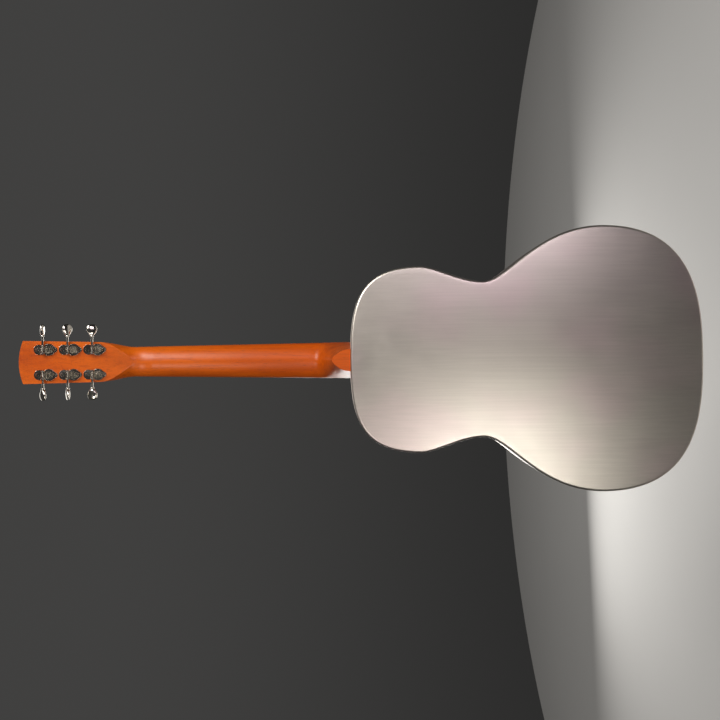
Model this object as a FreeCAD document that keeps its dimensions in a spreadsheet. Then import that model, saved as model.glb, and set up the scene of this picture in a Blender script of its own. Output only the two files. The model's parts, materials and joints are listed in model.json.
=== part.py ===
"""Metal-bodied resonator guitar, twelve frets clear of the body, with open-geared tuners.

The row frame: +Z runs up the neck, +X is the treble side as seen from the front, and the front
faces -Y. The origin is the middle of the strap button's head, on the centre line at the tail.

Three inner frames carry the rest. NECK sits where the fingerboard's underside meets the body's
top at the neck joint, leaned back by the neck angle. HEAD sits at the nut, leaned back again.
COVER sits on the top plate under the bridge, with its +Z towards the player.
"""

import FreeCAD, Part
import math
import os
import re

import Sketcher
from FreeCAD import Placement, Rotation, Vector

DIMS = {
    # body shell
    "body_length": 500.0,
    "lower_bout": 376.6,
    "waist": 220.0,
    "upper_bout": 264.0,
    "upper_from_neck": 100.0,
    "waist_from_neck": 187.5,
    "lower_from_tail": 140.4,
    "rim_depth": 80.0,
    "back_radius": 3600.0,
    "sheet_metal": 1.0,
    "edge_radius": 4.0,
    "seam_skirt": 8.0,
    # sound holes
    "fhole_across": 84.0,
    "fhole_from_neck": 112.0,
    "fhole_stem": 25.0,
    "fhole_bend": 12.0,
    "fhole_slot": 6.5,
    "fhole_eye": 6.5,
    # soundwell, cone, bridge and cover
    "well_rad": 121.5,
    "well_depth": 33.0,
    "well_ledge": 13.0,
    "well_hole": 8.0,
    "cone_sheet": 0.5,
    "cone_gap": 1.0,
    "cone_height": 32.0,
    "cone_crown": 27.0,
    "biscuit_rad": 26.0,
    "biscuit_thick": 9.0,
    "saddle_thick": 3.0,
    "saddle_width": 62.0,
    "saddle_seat": 4.0,
    "cover_rad": 134.0,
    "cover_flange": 11.0,
    "cover_height": 14.0,
    "cover_flat": 62.0,
    "cover_opening": 40.0,
    "screw_rad": 1.5,
    "screw_head": 3.2,
    "rest_width": 30.0,
    "rest_span": 112.0,
    "rest_foot": 10.0,
    "rest_metal": 1.5,
    "rest_over_strings": 6.0,
    # tailpiece and strap button
    "tail_plate": 1.5,
    "tail_reach": 100.0,
    "tail_wide": 66.0,
    "tail_narrow": 24.0,
    "tail_lift": 13.0,
    "lip_height": 9.0,
    "slot_width": 1.9,
    "pin_head_rad": 7.0,
    "pin_head_thick": 3.0,
    "pin_neck_rad": 4.0,
    "pin_neck_long": 4.5,
    "pin_base_rad": 6.5,
    "pin_base_thick": 2.0,
    "pin_screw_rad": 2.4,
    "pin_screw_long": 26.0,
    # neck, fingerboard and strings
    "scale_length": 635.0,
    "nut_width": 44.5,
    "heel_width": 54.5,
    "neck_angle": 2.2,
    "neck_depth_nut": 15.5,
    "neck_depth_heel": 18.0,
    "heel_reach": 60.0,
    "heel_keel": 188.0,
    "heel_setback": 2.0,
    "tongue_inset": 0.6,
    "board_thick": 6.3,
    "board_radius": 305.0,
    "board_end": 6.0,
    "fret_wide": 2.4,
    "fret_high": 1.1,
    "tang_thick": 0.6,
    "tang_deep": 2.0,
    "marker_rad": 3.0,
    "marker_thick": 1.5,
    "nut_thick": 5.0,
    "nut_clearance": 0.4,
    "action_at_joint": 2.4,
    "nut_spread": 36.5,
    "bridge_spread": 54.0,
    "string_groove": 0.03,
    # neck stick inside the body
    "stick_width": 38.0,
    "stick_depth": 22.0,
    "stick_from_top": 44.0,
    "tenon_width": 26.0,
    "tenon_long": 18.0,
    "post_width": 24.0,
    # truss rod
    "rod_rad": 2.5,
    "rod_deep": 6.8,
    "rod_start": 12.0,
    "rod_nut_rad": 3.5,
    "rod_nut_long": 10.0,
    "rod_key": 1.6,
    "rod_clearance": 0.1,
    # headstock
    "head_angle": 13.0,
    "head_long": 160.2,
    "head_tip_width": 61.5,
    "head_wide": 58.5,
    "head_wide_from_nut": 52.0,
    "head_tip_bow": 5.5,
    "head_thick": 15.0,
    "overlay_thick": 2.0,
    "cover_long": 34.0,
    "cover_wide": 24.0,
    "cover_tip": 10.0,
    "cover_plate": 1.6,
    # tuners
    "tuner_first": 53.0,
    "tuner_pitch": 33.55,
    "tuner_across": 36.4,
    "plate_thick": 1.0,
    "post_rad": 3.0,
    "post_up": 17.0,
    "post_collar": 4.0,
    "post_stub": 2.0,
    "post_waist": 2.6,
    "post_hole": 0.9,
    "string_up": 7.0,
    "bushing_rad": 4.3,
    "bushing_flange": 6.2,
    "bushing_lip": 1.2,
    "bushing_deep": 9.0,
    "running_gap": 0.06,
    "gear_pitch_rad": 5.15,
    "gear_addendum": 0.45,
    "gear_dedendum": 0.6,
    "gear_thick": 3.2,
    "gear_lift": 2.8,
    "worm_pitch_rad": 2.55,
    "worm_shaft": 1.6,
    "ear_thick": 1.2,
    "ear_wide": 6.4,
    "ear_gap": 5.0,
    "button_start": 37.0,
    "button_long": 18.0,
    "button_root": 10.0,
    "button_wide": 15.0,
    "button_thick": 6.4,
    "button_stem": 2.6,
    "gear_screw_rad": 1.2,
    "gear_screw_head": 2.7,
    "gear_screw_high": 1.4,
    "plate_screw_rad": 1.2,
    "plate_screw_head": 2.4,
    "plate_screw_long": 9.0,
    "plate_tip_screw": 15.4,
    "plate_nut_screw": 8.1,
    "plate_tip_rad": 7.3,
    "plate_gear_rad": 8.6,
    "plate_nut_rad": 3.6,
}

# How full each quarter of the outline is: a curve handle's length as a share of its own span.
FULLNESS = {
    "shoulder_across": 0.58,
    "shoulder_along": 0.907,
    "upper_out": 0.234,
    "waist_in": 0.358,
    "waist_out": 0.211,
    "hip_in": 0.558,
    "hip_out": 0.98,
    "tail_across": 0.374,
}
CIRCLE_HANDLE = 0.55

FRET_COUNT = 19
MARKED_FRETS = {5: 1, 7: 1, 9: 1, 12: 2, 15: 1, 17: 1}
COVER_SCREWS = 9
GEAR_TEETH = 18
WORM_TURNS = 4.5
STRING_DIAMETERS = (0.33, 0.43, 0.66, 0.89, 1.14, 1.42)
BUTTON_TURNS = (20.0, 75.0, 55.0, 80.0, 35.0, 10.0)
X_AXIS, Y_AXIS, Z_AXIS = Vector(1, 0, 0), Vector(0, 1, 0), Vector(0, 0, 1)
FAR = 2000.0

doc = FreeCAD.newDocument("resonator_guitar")
sheet = doc.addObject("Spreadsheet::Sheet", "dims")
for row, (alias, number) in enumerate(DIMS.items(), start=1):
    sheet.set(f"A{row}", alias)
    sheet.set(f"B{row}", str(number))
    sheet.setAlias(f"B{row}", alias)
spare = doc.addObject("Spreadsheet::Sheet", "working")
doc.recompute()


class Sizes:
    """Reads a named size from the sheet, so Part geometry and sketches share one source."""

    def __getattr__(self, alias):
        return float(sheet.get(alias))


d = Sizes()
pieces = []
worked_out = {}


# ---------------------------------------------------------------- shared construction


def bound(expression):
    """An expression on size names, as the document's expression engine writes it."""
    return re.sub(r"[a-z][a-z_]*", lambda name: "dims." + name.group(0), expression)


def number(expression):
    """The present value of an expression on size names, worked out in a spare cell."""
    if expression not in worked_out:
        spare.set("A1", "=" + bound(expression))
        spare.recompute()
        worked_out[expression] = float(spare.get("A1"))
    return worked_out[expression]


def origin_plane(body, role):
    return next(f for f in body.Origin.OriginFeatures if f.Role == role)


def new_body(name):
    return doc.addObject("PartDesign::Body", name)


def new_sketch(body, name, role):
    sketch = body.newObject("Sketcher::SketchObject", name)
    sketch.AttachmentSupport = [(origin_plane(body, role), "")]
    sketch.MapMode = "FlatFace"
    return sketch


def pin_down(sketch, geometry, point, across, up, tag):
    """Ties one sketch point to the origin by two expressions on size names."""
    for kind, expression, axis in (("DistanceX", across, -2), ("DistanceY", up, -1)):
        size = number(expression)
        if abs(size) < 1e-9:
            sketch.addConstraint(Sketcher.Constraint("PointOnObject", geometry, point, axis))
            continue
        index = sketch.addConstraint(Sketcher.Constraint(kind, -1, 1, geometry, point, size))
        label = kind[-1].lower() + tag
        sketch.renameConstraint(index, label)
        sketch.setExpression("Constraints." + label, bound(expression))


def polygon_sketch(body, name, role, corners):
    """A closed polygon whose every corner is tied to the sheet."""
    sketch = new_sketch(body, name, role)
    places = [Vector(number(a), number(b), 0) for a, b in corners]
    count = len(corners)
    for i in range(count):
        sketch.addGeometry(Part.LineSegment(places[i], places[(i + 1) % count]))
    for i in range(count):
        sketch.addConstraint(Sketcher.Constraint("Coincident", i, 2, (i + 1) % count, 1))
    for i, (across, up) in enumerate(corners):
        pin_down(sketch, i, 1, across, up, f"{i}")
    return sketch


def circle_sketch(body, name, role, circles):
    """Circles given as (across, up, radius), each tied to the sheet."""
    sketch = new_sketch(body, name, role)
    for i, (across, up, radius) in enumerate(circles):
        centre = Vector(number(across), number(up), 0)
        sketch.addGeometry(Part.Circle(centre, Z_AXIS, number(radius)))
        pin_down(sketch, i, 3, across, up, f"{i}")
        index = sketch.addConstraint(Sketcher.Constraint("Radius", i, number(radius)))
        sketch.renameConstraint(index, f"r{i}")
        sketch.setExpression(f"Constraints.r{i}", bound(radius))
    return sketch


def pad(body, name, sketch, length, midplane=False, reversed_way=False):
    feature = body.newObject("PartDesign::Pad", name)
    feature.Profile = sketch
    feature.Midplane = midplane
    feature.Reversed = reversed_way
    feature.setExpression("Length", bound(length))
    doc.recompute()
    return feature


def pocket_through(body, name, sketch):
    feature = body.newObject("PartDesign::Pocket", name)
    feature.Profile = sketch
    feature.Type = 1
    feature.Midplane = True
    doc.recompute()
    return feature


def pocket_blind(body, name, sketch, length, reversed_way=False):
    feature = body.newObject("PartDesign::Pocket", name)
    feature.Profile = sketch
    feature.Reversed = reversed_way
    feature.setExpression("Length", bound(length))
    doc.recompute()
    return feature


def repeat_round(body, name, feature, sketch, count, sweep=360.0):
    """Repeats a feature round the axis normal to its own sketch."""
    pattern = body.newObject("PartDesign::PolarPattern", name)
    pattern.Originals = [feature]
    pattern.Axis = (sketch, ["N_Axis"])
    pattern.Occurrences = count
    pattern.Angle = sweep
    body.Tip = pattern
    doc.recompute()
    return pattern


def turned(name, profile):
    """A body turned about its own Z from (radius, height) corners."""
    body = new_body(name)
    sketch = polygon_sketch(body, name + "_profile", "XZ_Plane", profile)
    doc.recompute()
    turning = body.newObject("PartDesign::Revolution", name + "_turning")
    turning.Profile = sketch
    turning.ReferenceAxis = (sketch, ["V_Axis"])
    turning.Angle = 360
    doc.recompute()
    return body


def keep(item, label, placement=None):
    """Marks a document object as a finished sub-part under its own label."""
    item.Label = label
    if placement is not None:
        item.Placement = placement
    pieces.append(item)
    return item


def keep_shape(shape, label, placement=None):
    """A sub-part whose shape comes from Part's own functions."""
    feature = doc.addObject("Part::Feature", label)
    feature.Shape = shape
    return keep(feature, label, placement)


def moved(shape, placement):
    """A copy of a shape, carried by a placement into the row frame."""
    copy = shape.copy()
    copy.transformShape(placement.toMatrix(), True)
    return copy


def own_shape(body):
    """A body's solid in its own frame."""
    shape = body.Shape.copy()
    shape.Placement = body.Placement.inverse().multiply(shape.Placement)
    return shape


def joined(shapes):
    whole = shapes[0].fuse(list(shapes[1:])) if len(shapes) > 1 else shapes[0]
    return whole.removeSplitter()


def box(low, high):
    size = high - low
    return Part.makeBox(size.x, size.y, size.z, low)


def rod(start, end, radius):
    """A plain round bar between two points."""
    return Part.makeCylinder(radius, (end - start).Length, start, end - start)


def crowning(height, low, high):
    """The space behind a surface crowned like the fingerboard, its top a height in front."""
    middle = Vector(0, d.board_radius - height, low)
    bar = rod(middle, Vector(0, middle.y, high), d.board_radius)
    bar.rotate(middle, Z_AXIS, 90)
    return bar


# ---------------------------------------------------------------- frames and places

tail_z = d.pin_head_thick / 2 + d.pin_neck_long + d.pin_base_thick + d.tail_plate
joint_z = tail_z + d.body_length
top_y = -d.rim_depth / 2
bridge_z = joint_z - d.scale_length / 2

NECK = Placement(Vector(0, top_y, joint_z), Rotation(X_AXIS, -d.neck_angle))
HEAD = NECK.multiply(
    Placement(Vector(0, 0, d.scale_length / 2 + d.nut_thick), Rotation(X_AXIS, -d.head_angle))
)
COVER = Placement(Vector(0, top_y, bridge_z), Rotation(X_AXIS, 90))


def half_board(from_joint):
    """Half the fingerboard's width, a distance up the neck from the body joint."""
    slope = (d.nut_width - d.heel_width) / (d.scale_length / 2)
    return (d.heel_width + slope * from_joint) / 2


def fret_place(count):
    """A fret's distance up the neck from the body joint, by the twelfth root of two."""
    return d.scale_length * 2 ** (-count / 12) - d.scale_length / 2


def string_across(index, spread):
    """Where string 1 to 6 crosses: 1 is the treble string, on the +X side."""
    return spread / 2 - (index - 1) * spread / 5


# ---------------------------------------------------------------- body shell


def outline_side(side, inset):
    """One half of the body's outline from neck to tail, four curves with shared tangents.
    Inset moves it inwards by a wall's thickness."""
    f = FULLNESS
    upper = d.upper_bout / 2 - inset
    waist = d.waist / 2 - inset
    lower = d.lower_bout / 2 - inset
    at_upper, at_waist = d.upper_from_neck, d.waist_from_neck
    at_lower = d.body_length - d.lower_from_tail
    first, last = inset, d.body_length - inset
    shrink = CIRCLE_HANDLE * inset
    shoulder = f["shoulder_across"] * d.upper_bout / 2 - shrink
    shoulder_along = f["shoulder_along"] * at_upper - shrink
    upper_out = f["upper_out"] * (at_waist - at_upper) - shrink
    waist_in = f["waist_in"] * (at_waist - at_upper) + shrink
    waist_out = f["waist_out"] * (at_lower - at_waist) + shrink
    hip_in = f["hip_in"] * (at_lower - at_waist) - shrink
    hip_out = f["hip_out"] * d.lower_from_tail - shrink
    tail = f["tail_across"] * d.lower_bout / 2 - shrink
    spans = [
        [(0, first), (shoulder, first), (upper, at_upper - shoulder_along), (upper, at_upper)],
        [(upper, at_upper), (upper, at_upper + upper_out), (waist, at_waist - waist_in),
         (waist, at_waist)],
        [(waist, at_waist), (waist, at_waist + waist_out), (lower, at_lower - hip_in),
         (lower, at_lower)],
        [(lower, at_lower), (lower, at_lower + hip_out), (tail, last), (0, last)],
    ]
    edges = []
    for span in spans:
        curve = Part.BezierCurve()
        curve.setPoles([Vector(side * x, 0, joint_z - s) for x, s in span])
        edges.append(curve.toShape())
    return edges


def body_solid(inset):
    """The filled body, or with an inset the space inside its walls: a prism on the outline,
    flat in front and crowned by a large sphere behind, with both rims rounded."""
    edges = outline_side(1, inset) + outline_side(-1, inset)
    face = Part.Face(Part.Wire(Part.__sortEdges__(edges)))
    prism = face.extrude(Vector(0, d.rim_depth * 1.5, 0))
    prism.translate(Vector(0, top_y + inset, 0))
    sagitta = d.back_radius - math.sqrt(d.back_radius**2 - (d.body_length / 2) ** 2)
    crown = d.rim_depth / 2 + sagitta
    middle = Vector(0, crown - d.back_radius, tail_z + d.body_length / 2)
    solid = prism.common(Part.makeSphere(d.back_radius - inset, middle))
    rims = []
    for edge in solid.Edges:
        low, high = edge.BoundBox.YMin, edge.BoundBox.YMax
        if high < top_y + inset + 0.01 or low > d.rim_depth / 4:
            rims.append(edge)
    return solid.makeFillet(d.edge_radius - inset, rims)


def f_hole(side):
    """A plain f-shaped sound hole, its top leaning to the centre: a slanted slot, two hooks
    that curl opposite ways, and a round eye on each end."""
    bend, half, stem = d.fhole_bend, d.fhole_slot / 2, d.fhole_stem
    depth, sweep = 3 * d.sheet_metal, 140.0
    parts = [box(Vector(-half, -stem, -depth), Vector(half, stem, depth))]
    for way in (1, -1):
        hub = Vector(-side * way * bend, way * stem, -depth)
        base = 0.0 if side * way > 0 else 180.0
        start = base if side > 0 else base - sweep
        hook = Part.makeCylinder(bend + half, 2 * depth, hub, Z_AXIS, sweep)
        hook = hook.cut(Part.makeCylinder(bend - half, 2 * depth, hub))
        hook.rotate(hub, Z_AXIS, start)
        end = math.radians(start + sweep if side > 0 else start)
        eye = hub + Vector(math.cos(end), math.sin(end), 0) * bend
        parts += [hook, Part.makeCylinder(d.fhole_eye, 2 * depth, eye)]
    hole = joined(parts)
    hole.rotate(Vector(), Z_AXIS, side * 8.0)
    from_bridge = d.scale_length / 2 - d.fhole_from_neck
    hole.translate(Vector(side * d.fhole_across, from_bridge, 0))
    return moved(hole, COVER)


def stick_span():
    """The neck stick's front and back faces."""
    front = top_y + d.stick_from_top
    return front, front + d.stick_depth


def make_stick(inner):
    """The wooden stick that runs from the heel to the tail inside the body, and its tenon."""
    front, back = stick_span()
    half, tenon = d.stick_width / 2, d.tenon_width / 2
    bar = box(Vector(-half, front, tail_z), Vector(half, back, joint_z)).common(inner)
    tongue = box(
        Vector(-tenon, front, joint_z - d.tenon_long),
        Vector(tenon, back, joint_z + d.tenon_long),
    )
    return joined([bar, tongue]), tongue


def make_stick_posts(inner):
    """Three round posts that hold the stick off the back."""
    _front, back = stick_span()
    below_cone = bridge_z
    places = (tail_z + d.lower_from_tail / 3, below_cone, joint_z - d.upper_from_neck)
    posts = []
    for z in places:
        post = rod(Vector(0, back, z), Vector(0, back + d.rim_depth, z), d.post_width / 2)
        posts.append(post.common(inner))
    return Part.makeCompound([p.Solids[0] for p in posts])


def make_shell(outer, inner, tongue):
    """Back and top trays with rounded rims, and the two halves of the side band between."""
    shell = outer.cut(inner)
    seam_back = d.rim_depth / 2 - d.seam_skirt
    seam_top = top_y + d.seam_skirt
    behind = box(Vector(-FAR, seam_back, -FAR), Vector(FAR, FAR, FAR))
    before = box(Vector(-FAR, -FAR, -FAR), Vector(FAR, seam_top, FAR))
    between = box(Vector(-FAR, seam_top, -FAR), Vector(FAR, seam_back, FAR))
    keep_shape(shell.common(behind), "body_back")

    top = shell.common(before)
    well = rod(
        Vector(0, top_y - FAR / 100, bridge_z),
        Vector(0, seam_top, bridge_z),
        d.well_rad,
    )
    screws = [rod(p, p + Y_AXIS * 4, d.screw_rad) for p in cover_screw_places()]
    top = top.cut([well, f_hole(1), f_hole(-1)] + screws)
    keep_shape(top, "body_top")

    pin = rod(Vector(0, 0, 0), Vector(0, 0, tail_z * 2), d.pin_screw_rad + d.running_gap)
    band = shell.common(between).cut([tongue, pin])
    for label, low, high in (("bass_side", -FAR, 0.0), ("treble_side", 0.0, FAR)):
        half = box(Vector(low, -FAR, -FAR), Vector(high, FAR, FAR))
        keep_shape(band.common(half), label)


def cover_screw_places():
    """Where the coverplate's screws go into the top, in the row frame, just in front of it."""
    reach = d.cover_rad - d.cover_flange / 2
    places = []
    for i in range(COVER_SCREWS):
        turn = 2 * math.pi * (i + 0.5) / COVER_SCREWS
        places.append(
            COVER.multVec(Vector(reach * math.sin(turn), -reach * math.cos(turn), d.sheet_metal))
        )
    return places


# ---------------------------------------------------------------- soundwell, cone and bridge


def make_soundwell():
    body = turned(
        "well",
        [
            ("well_rad", "0-sheet_metal"),
            ("well_rad+5", "0-sheet_metal"),
            ("well_rad+5", "0-2*sheet_metal"),
            ("well_rad+sheet_metal", "0-2*sheet_metal"),
            ("well_rad+sheet_metal", "0-well_depth"),
            ("well_rad-well_ledge", "0-well_depth"),
            ("well_rad-well_ledge", "sheet_metal-well_depth"),
            ("well_rad", "sheet_metal-well_depth"),
        ],
    )
    ports = circle_sketch(
        body, "well_ports", "YZ_Plane", [("0", "0-well_depth/2", "well_hole")]
    )
    hub = circle_sketch(body, "well_hub", "XY_Plane", [("0", "0", "well_hole")])
    doc.recompute()
    cut = pocket_through(body, "well_port", ports)
    repeat_round(body, "well_port_ring", cut, hub, 6, 150.0)
    keep(body, "soundwell", COVER)


def cone_foot():
    """The height of the ledge that the cone stands on, in the cover frame."""
    return d.sheet_metal - d.well_depth


def make_cone():
    foot = "(sheet_metal-well_depth)"
    body = turned(
        "cone",
        [
            ("well_rad-cone_gap", foot),
            ("well_rad-cone_gap", f"{foot}+cone_sheet"),
            ("well_rad-well_ledge+2", f"{foot}+cone_sheet"),
            ("well_rad*0.72", f"{foot}+cone_height*0.42"),
            ("well_rad*0.45", f"{foot}+cone_height*0.8"),
            ("cone_crown", f"{foot}+cone_height"),
            ("gear_screw_rad", f"{foot}+cone_height"),
            ("gear_screw_rad", f"{foot}+cone_height-cone_sheet"),
            ("cone_crown-0.2", f"{foot}+cone_height-cone_sheet"),
            ("well_rad*0.45-0.2", f"{foot}+cone_height*0.8-cone_sheet"),
            ("well_rad*0.72-0.2", f"{foot}+cone_height*0.42-cone_sheet"),
            ("well_rad-well_ledge+1.6", foot),
        ],
    )
    keep(body, "resonator_cone", COVER)


def crown_height():
    """The top of the cone's crown, where the biscuit sits, in the cover frame."""
    return cone_foot() + d.cone_height


def make_biscuit():
    body = new_body("biscuit")
    disc = circle_sketch(body, "biscuit_disc", "XY_Plane", [("0", "0", "biscuit_rad")])
    pad(body, "biscuit_pad", disc, "biscuit_thick")
    half = "saddle_thick/2"
    low = "biscuit_thick-saddle_seat"
    slot = polygon_sketch(
        body,
        "biscuit_slot",
        "YZ_Plane",
        [
            ("0-" + half, low),
            (half, low),
            (half, "biscuit_thick+1"),
            ("0-" + half, "biscuit_thick+1"),
        ],
    )
    pocket_through(body, "biscuit_cut", slot)
    pilot = circle_sketch(body, "biscuit_pilot", "XY_Plane", [("0", "0", "gear_screw_rad")])
    pocket_blind(body, "biscuit_hole", pilot, "biscuit_thick-saddle_seat", True)
    keep(body, "bridge_biscuit", COVER.multiply(Placement(Vector(0, 0, crown_height()), Rotation())))


def make_biscuit_screw():
    body = turned(
        "biscuit_screw_turning",
        [
            ("0", "biscuit_thick-saddle_seat-0.5"),
            ("gear_screw_rad", "biscuit_thick-saddle_seat-0.5"),
            ("gear_screw_rad", "0-cone_sheet"),
            ("screw_head", "0-cone_sheet"),
            ("screw_head", "0-cone_sheet-1.6"),
            ("0", "0-cone_sheet-1.6"),
        ],
    )
    keep(body, "biscuit_screw", COVER.multiply(Placement(Vector(0, 0, crown_height()), Rotation())))


def make_coverplate():
    body = turned(
        "cover",
        [
            ("cover_rad", "0"),
            ("cover_rad", "sheet_metal"),
            ("cover_rad-cover_flange", "sheet_metal"),
            ("cover_rad-cover_flange-3", "sheet_metal+2.6"),
            ("cover_rad-cover_flange-12", "cover_height*0.38"),
            ("cover_flat+18", "cover_height*0.82"),
            ("cover_flat", "cover_height"),
            ("cover_opening", "cover_height"),
            ("cover_opening", "cover_height-sheet_metal"),
            ("cover_flat-0.1", "cover_height-sheet_metal"),
            ("cover_flat+17.8", "cover_height*0.82-sheet_metal"),
            ("cover_rad-cover_flange-12.2", "cover_height*0.38-sheet_metal"),
            ("cover_rad-cover_flange-3.6", "2.6"),
            ("cover_rad-cover_flange-1.1", "0"),
        ],
    )
    rows = circle_sketch(
        body,
        "cover_rows",
        "XY_Plane",
        [
            ("cover_flat+10", "0", "well_hole*0.45"),
            ("cover_flat+23", "0", "well_hole*0.55"),
            ("cover_flat+38", "0", "well_hole*0.65"),
        ],
    )
    cut = pocket_through(body, "cover_row", rows)
    repeat_round(body, "cover_row_ring", cut, rows, 20)
    screws = circle_sketch(
        body, "cover_screw_hole", "XY_Plane", [("0", "cover_flange/2-cover_rad", "screw_rad")]
    )
    screws.Placement = Placement()
    cut = pocket_through(body, "cover_screw", screws)
    repeat_round(body, "cover_screw_ring", cut, screws, COVER_SCREWS)
    half_step = Rotation(Z_AXIS, 180.0 / COVER_SCREWS)
    keep(body, "coverplate", COVER.multiply(Placement(Vector(), half_step)))
    return body


def slotted_screw(name, radius, head, thick, long):
    """A slotted round-head screw that points down its own -Z, its head on Z = 0."""
    body = turned(
        name,
        [
            ("0", thick),
            (f"{head}*0.7", thick),
            (head, f"{thick}*0.4"),
            (head, "0"),
            (radius, "0"),
            (radius, f"0-{long}"),
            ("0", f"0-{long}-{radius}"),
        ],
    )
    slot = polygon_sketch(
        body,
        name + "_slot",
        "XZ_Plane",
        [
            (f"0-{head}*0.12", f"{thick}*0.45"),
            (f"{head}*0.12", f"{thick}*0.45"),
            (f"{head}*0.12", f"{thick}+1"),
            (f"0-{head}*0.12", f"{thick}+1"),
        ],
    )
    pocket_through(body, name + "_cut", slot)
    return own_shape(body)


def make_cover_screws():
    screw = slotted_screw("cover_screw_turning", "screw_rad", "screw_head", "screw_rad", "6")
    outward = Rotation(X_AXIS, 90)
    copies = []
    for i, place in enumerate(cover_screw_places()):
        spin = Rotation(Z_AXIS, 40.0 * i)
        copies.append(moved(screw, Placement(place, outward.multiply(spin))))
    keep_shape(Part.makeCompound(copies), "coverplate_screws")
    return screw


def string_plane(index, at):
    """The height of a string's centre behind the neck frame's origin plane (negative is in
    front), a distance up the neck from the joint. The board's radius sets it lower outside."""
    radius = STRING_DIAMETERS[index - 1] / 2
    low = d.board_thick + d.fret_high + d.nut_clearance
    rise = (d.action_at_joint - d.nut_clearance) * (1 - at / (d.scale_length / 2))
    spread = d.nut_spread + (d.bridge_spread - d.nut_spread) * (0.5 - at / d.scale_length)
    across = string_across(index, spread)
    return -(low + rise + radius) + across**2 / (2 * d.board_radius), across


def saddle_point(index):
    """Where a string's centre crosses the saddle, in the row frame."""
    y, across = string_plane(index, -d.scale_length / 2)
    return NECK.multVec(Vector(across, y, -d.scale_length / 2))


def nut_point(index):
    y, across = string_plane(index, d.scale_length / 2)
    return NECK.multVec(Vector(across, y, d.scale_length / 2 + d.nut_thick * 0.2))


def string_height():
    """How far the highest string's centre stands in front of the top plate at the saddle."""
    return max(top_y - saddle_point(i).y for i in range(1, 7))


def make_saddle(tubes):
    """A slim bar across the biscuit whose crest follows the strings."""
    base = top_y - crown_height() - d.biscuit_thick + d.saddle_seat
    crest = min(saddle_point(i).y + STRING_DIAMETERS[i - 1] / 2 for i in range(1, 7))
    middle = crest + d.board_radius
    half = d.saddle_thick / 2
    blank = box(
        Vector(-d.saddle_width / 2, middle - d.board_radius - 5, bridge_z - half),
        Vector(d.saddle_width / 2, base, bridge_z + half),
    )
    follow = rod(Vector(0, middle, 0), Vector(0, middle, 2 * bridge_z), d.board_radius)
    follow.rotate(Vector(0, middle, 0), Z_AXIS, 90)
    under = top_y - crown_height() - d.biscuit_thick - 0.2
    wings = [
        box_between(
            way * d.biscuit_rad, way * d.saddle_width, under, base + 1, 0, 2 * bridge_z
        )
        for way in (1, -1)
    ]
    keep_shape(blank.common(follow).cut(wings + tubes), "bridge_saddle")


def make_palm_rest(screw):
    """The arched bar over the saddle, on two feet screwed to the coverplate."""
    floor = d.cover_height
    roof = string_height() + d.rest_over_strings
    foot, metal, half = d.rest_foot, d.rest_metal, d.rest_span / 2
    lean = 5.0
    outline = [
        (half, floor),
        (half, floor + metal),
        (half - foot, floor + metal),
        (half - foot - lean, roof + metal),
        (-half + foot + lean, roof + metal),
        (-half + foot, floor + metal),
        (-half, floor + metal),
        (-half, floor),
        (-half + foot + metal, floor),
        (-half + foot + lean + metal, roof),
        (half - foot - lean - metal, roof),
        (half - foot - metal, floor),
    ]
    corners = [Vector(x, -d.rest_width / 2, z) for x, z in outline]
    face = Part.Face(Part.makePolygon(corners + corners[:1]))
    bar = face.extrude(Vector(0, d.rest_width, 0))
    bends = []
    for edge in bar.Edges:
        along_bar = abs(edge.BoundBox.YMax - edge.BoundBox.YMin - d.rest_width) < 0.1
        if along_bar and abs(edge.BoundBox.ZMax - roof - metal) < 0.01:
            bends.append(edge)
    bar = bar.makeFillet(metal * 2.4, bends)
    centres = [
        Vector(x * (half - foot / 2), y * d.rest_width * 0.3, floor)
        for x in (1, -1)
        for y in (1, -1)
    ]
    holes = [rod(c - Z_AXIS * 4, c + Z_AXIS * 4, d.screw_rad) for c in centres]
    keep_shape(bar.cut(holes), "palm_rest", COVER)
    screws = [moved(screw, Placement(c + Z_AXIS * metal, Rotation(Z_AXIS, 35))) for c in centres]
    keep_shape(Part.makeCompound(screws), "palm_rest_screws", COVER)
    return [moved(hole, COVER) for hole in holes]


# ---------------------------------------------------------------- tailpiece and strap button


def lip_place():
    """The tailpiece's lip: its height up the guitar and its outer plate face."""
    return tail_z + d.tail_reach, top_y - d.tail_lift - d.tail_plate


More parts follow.
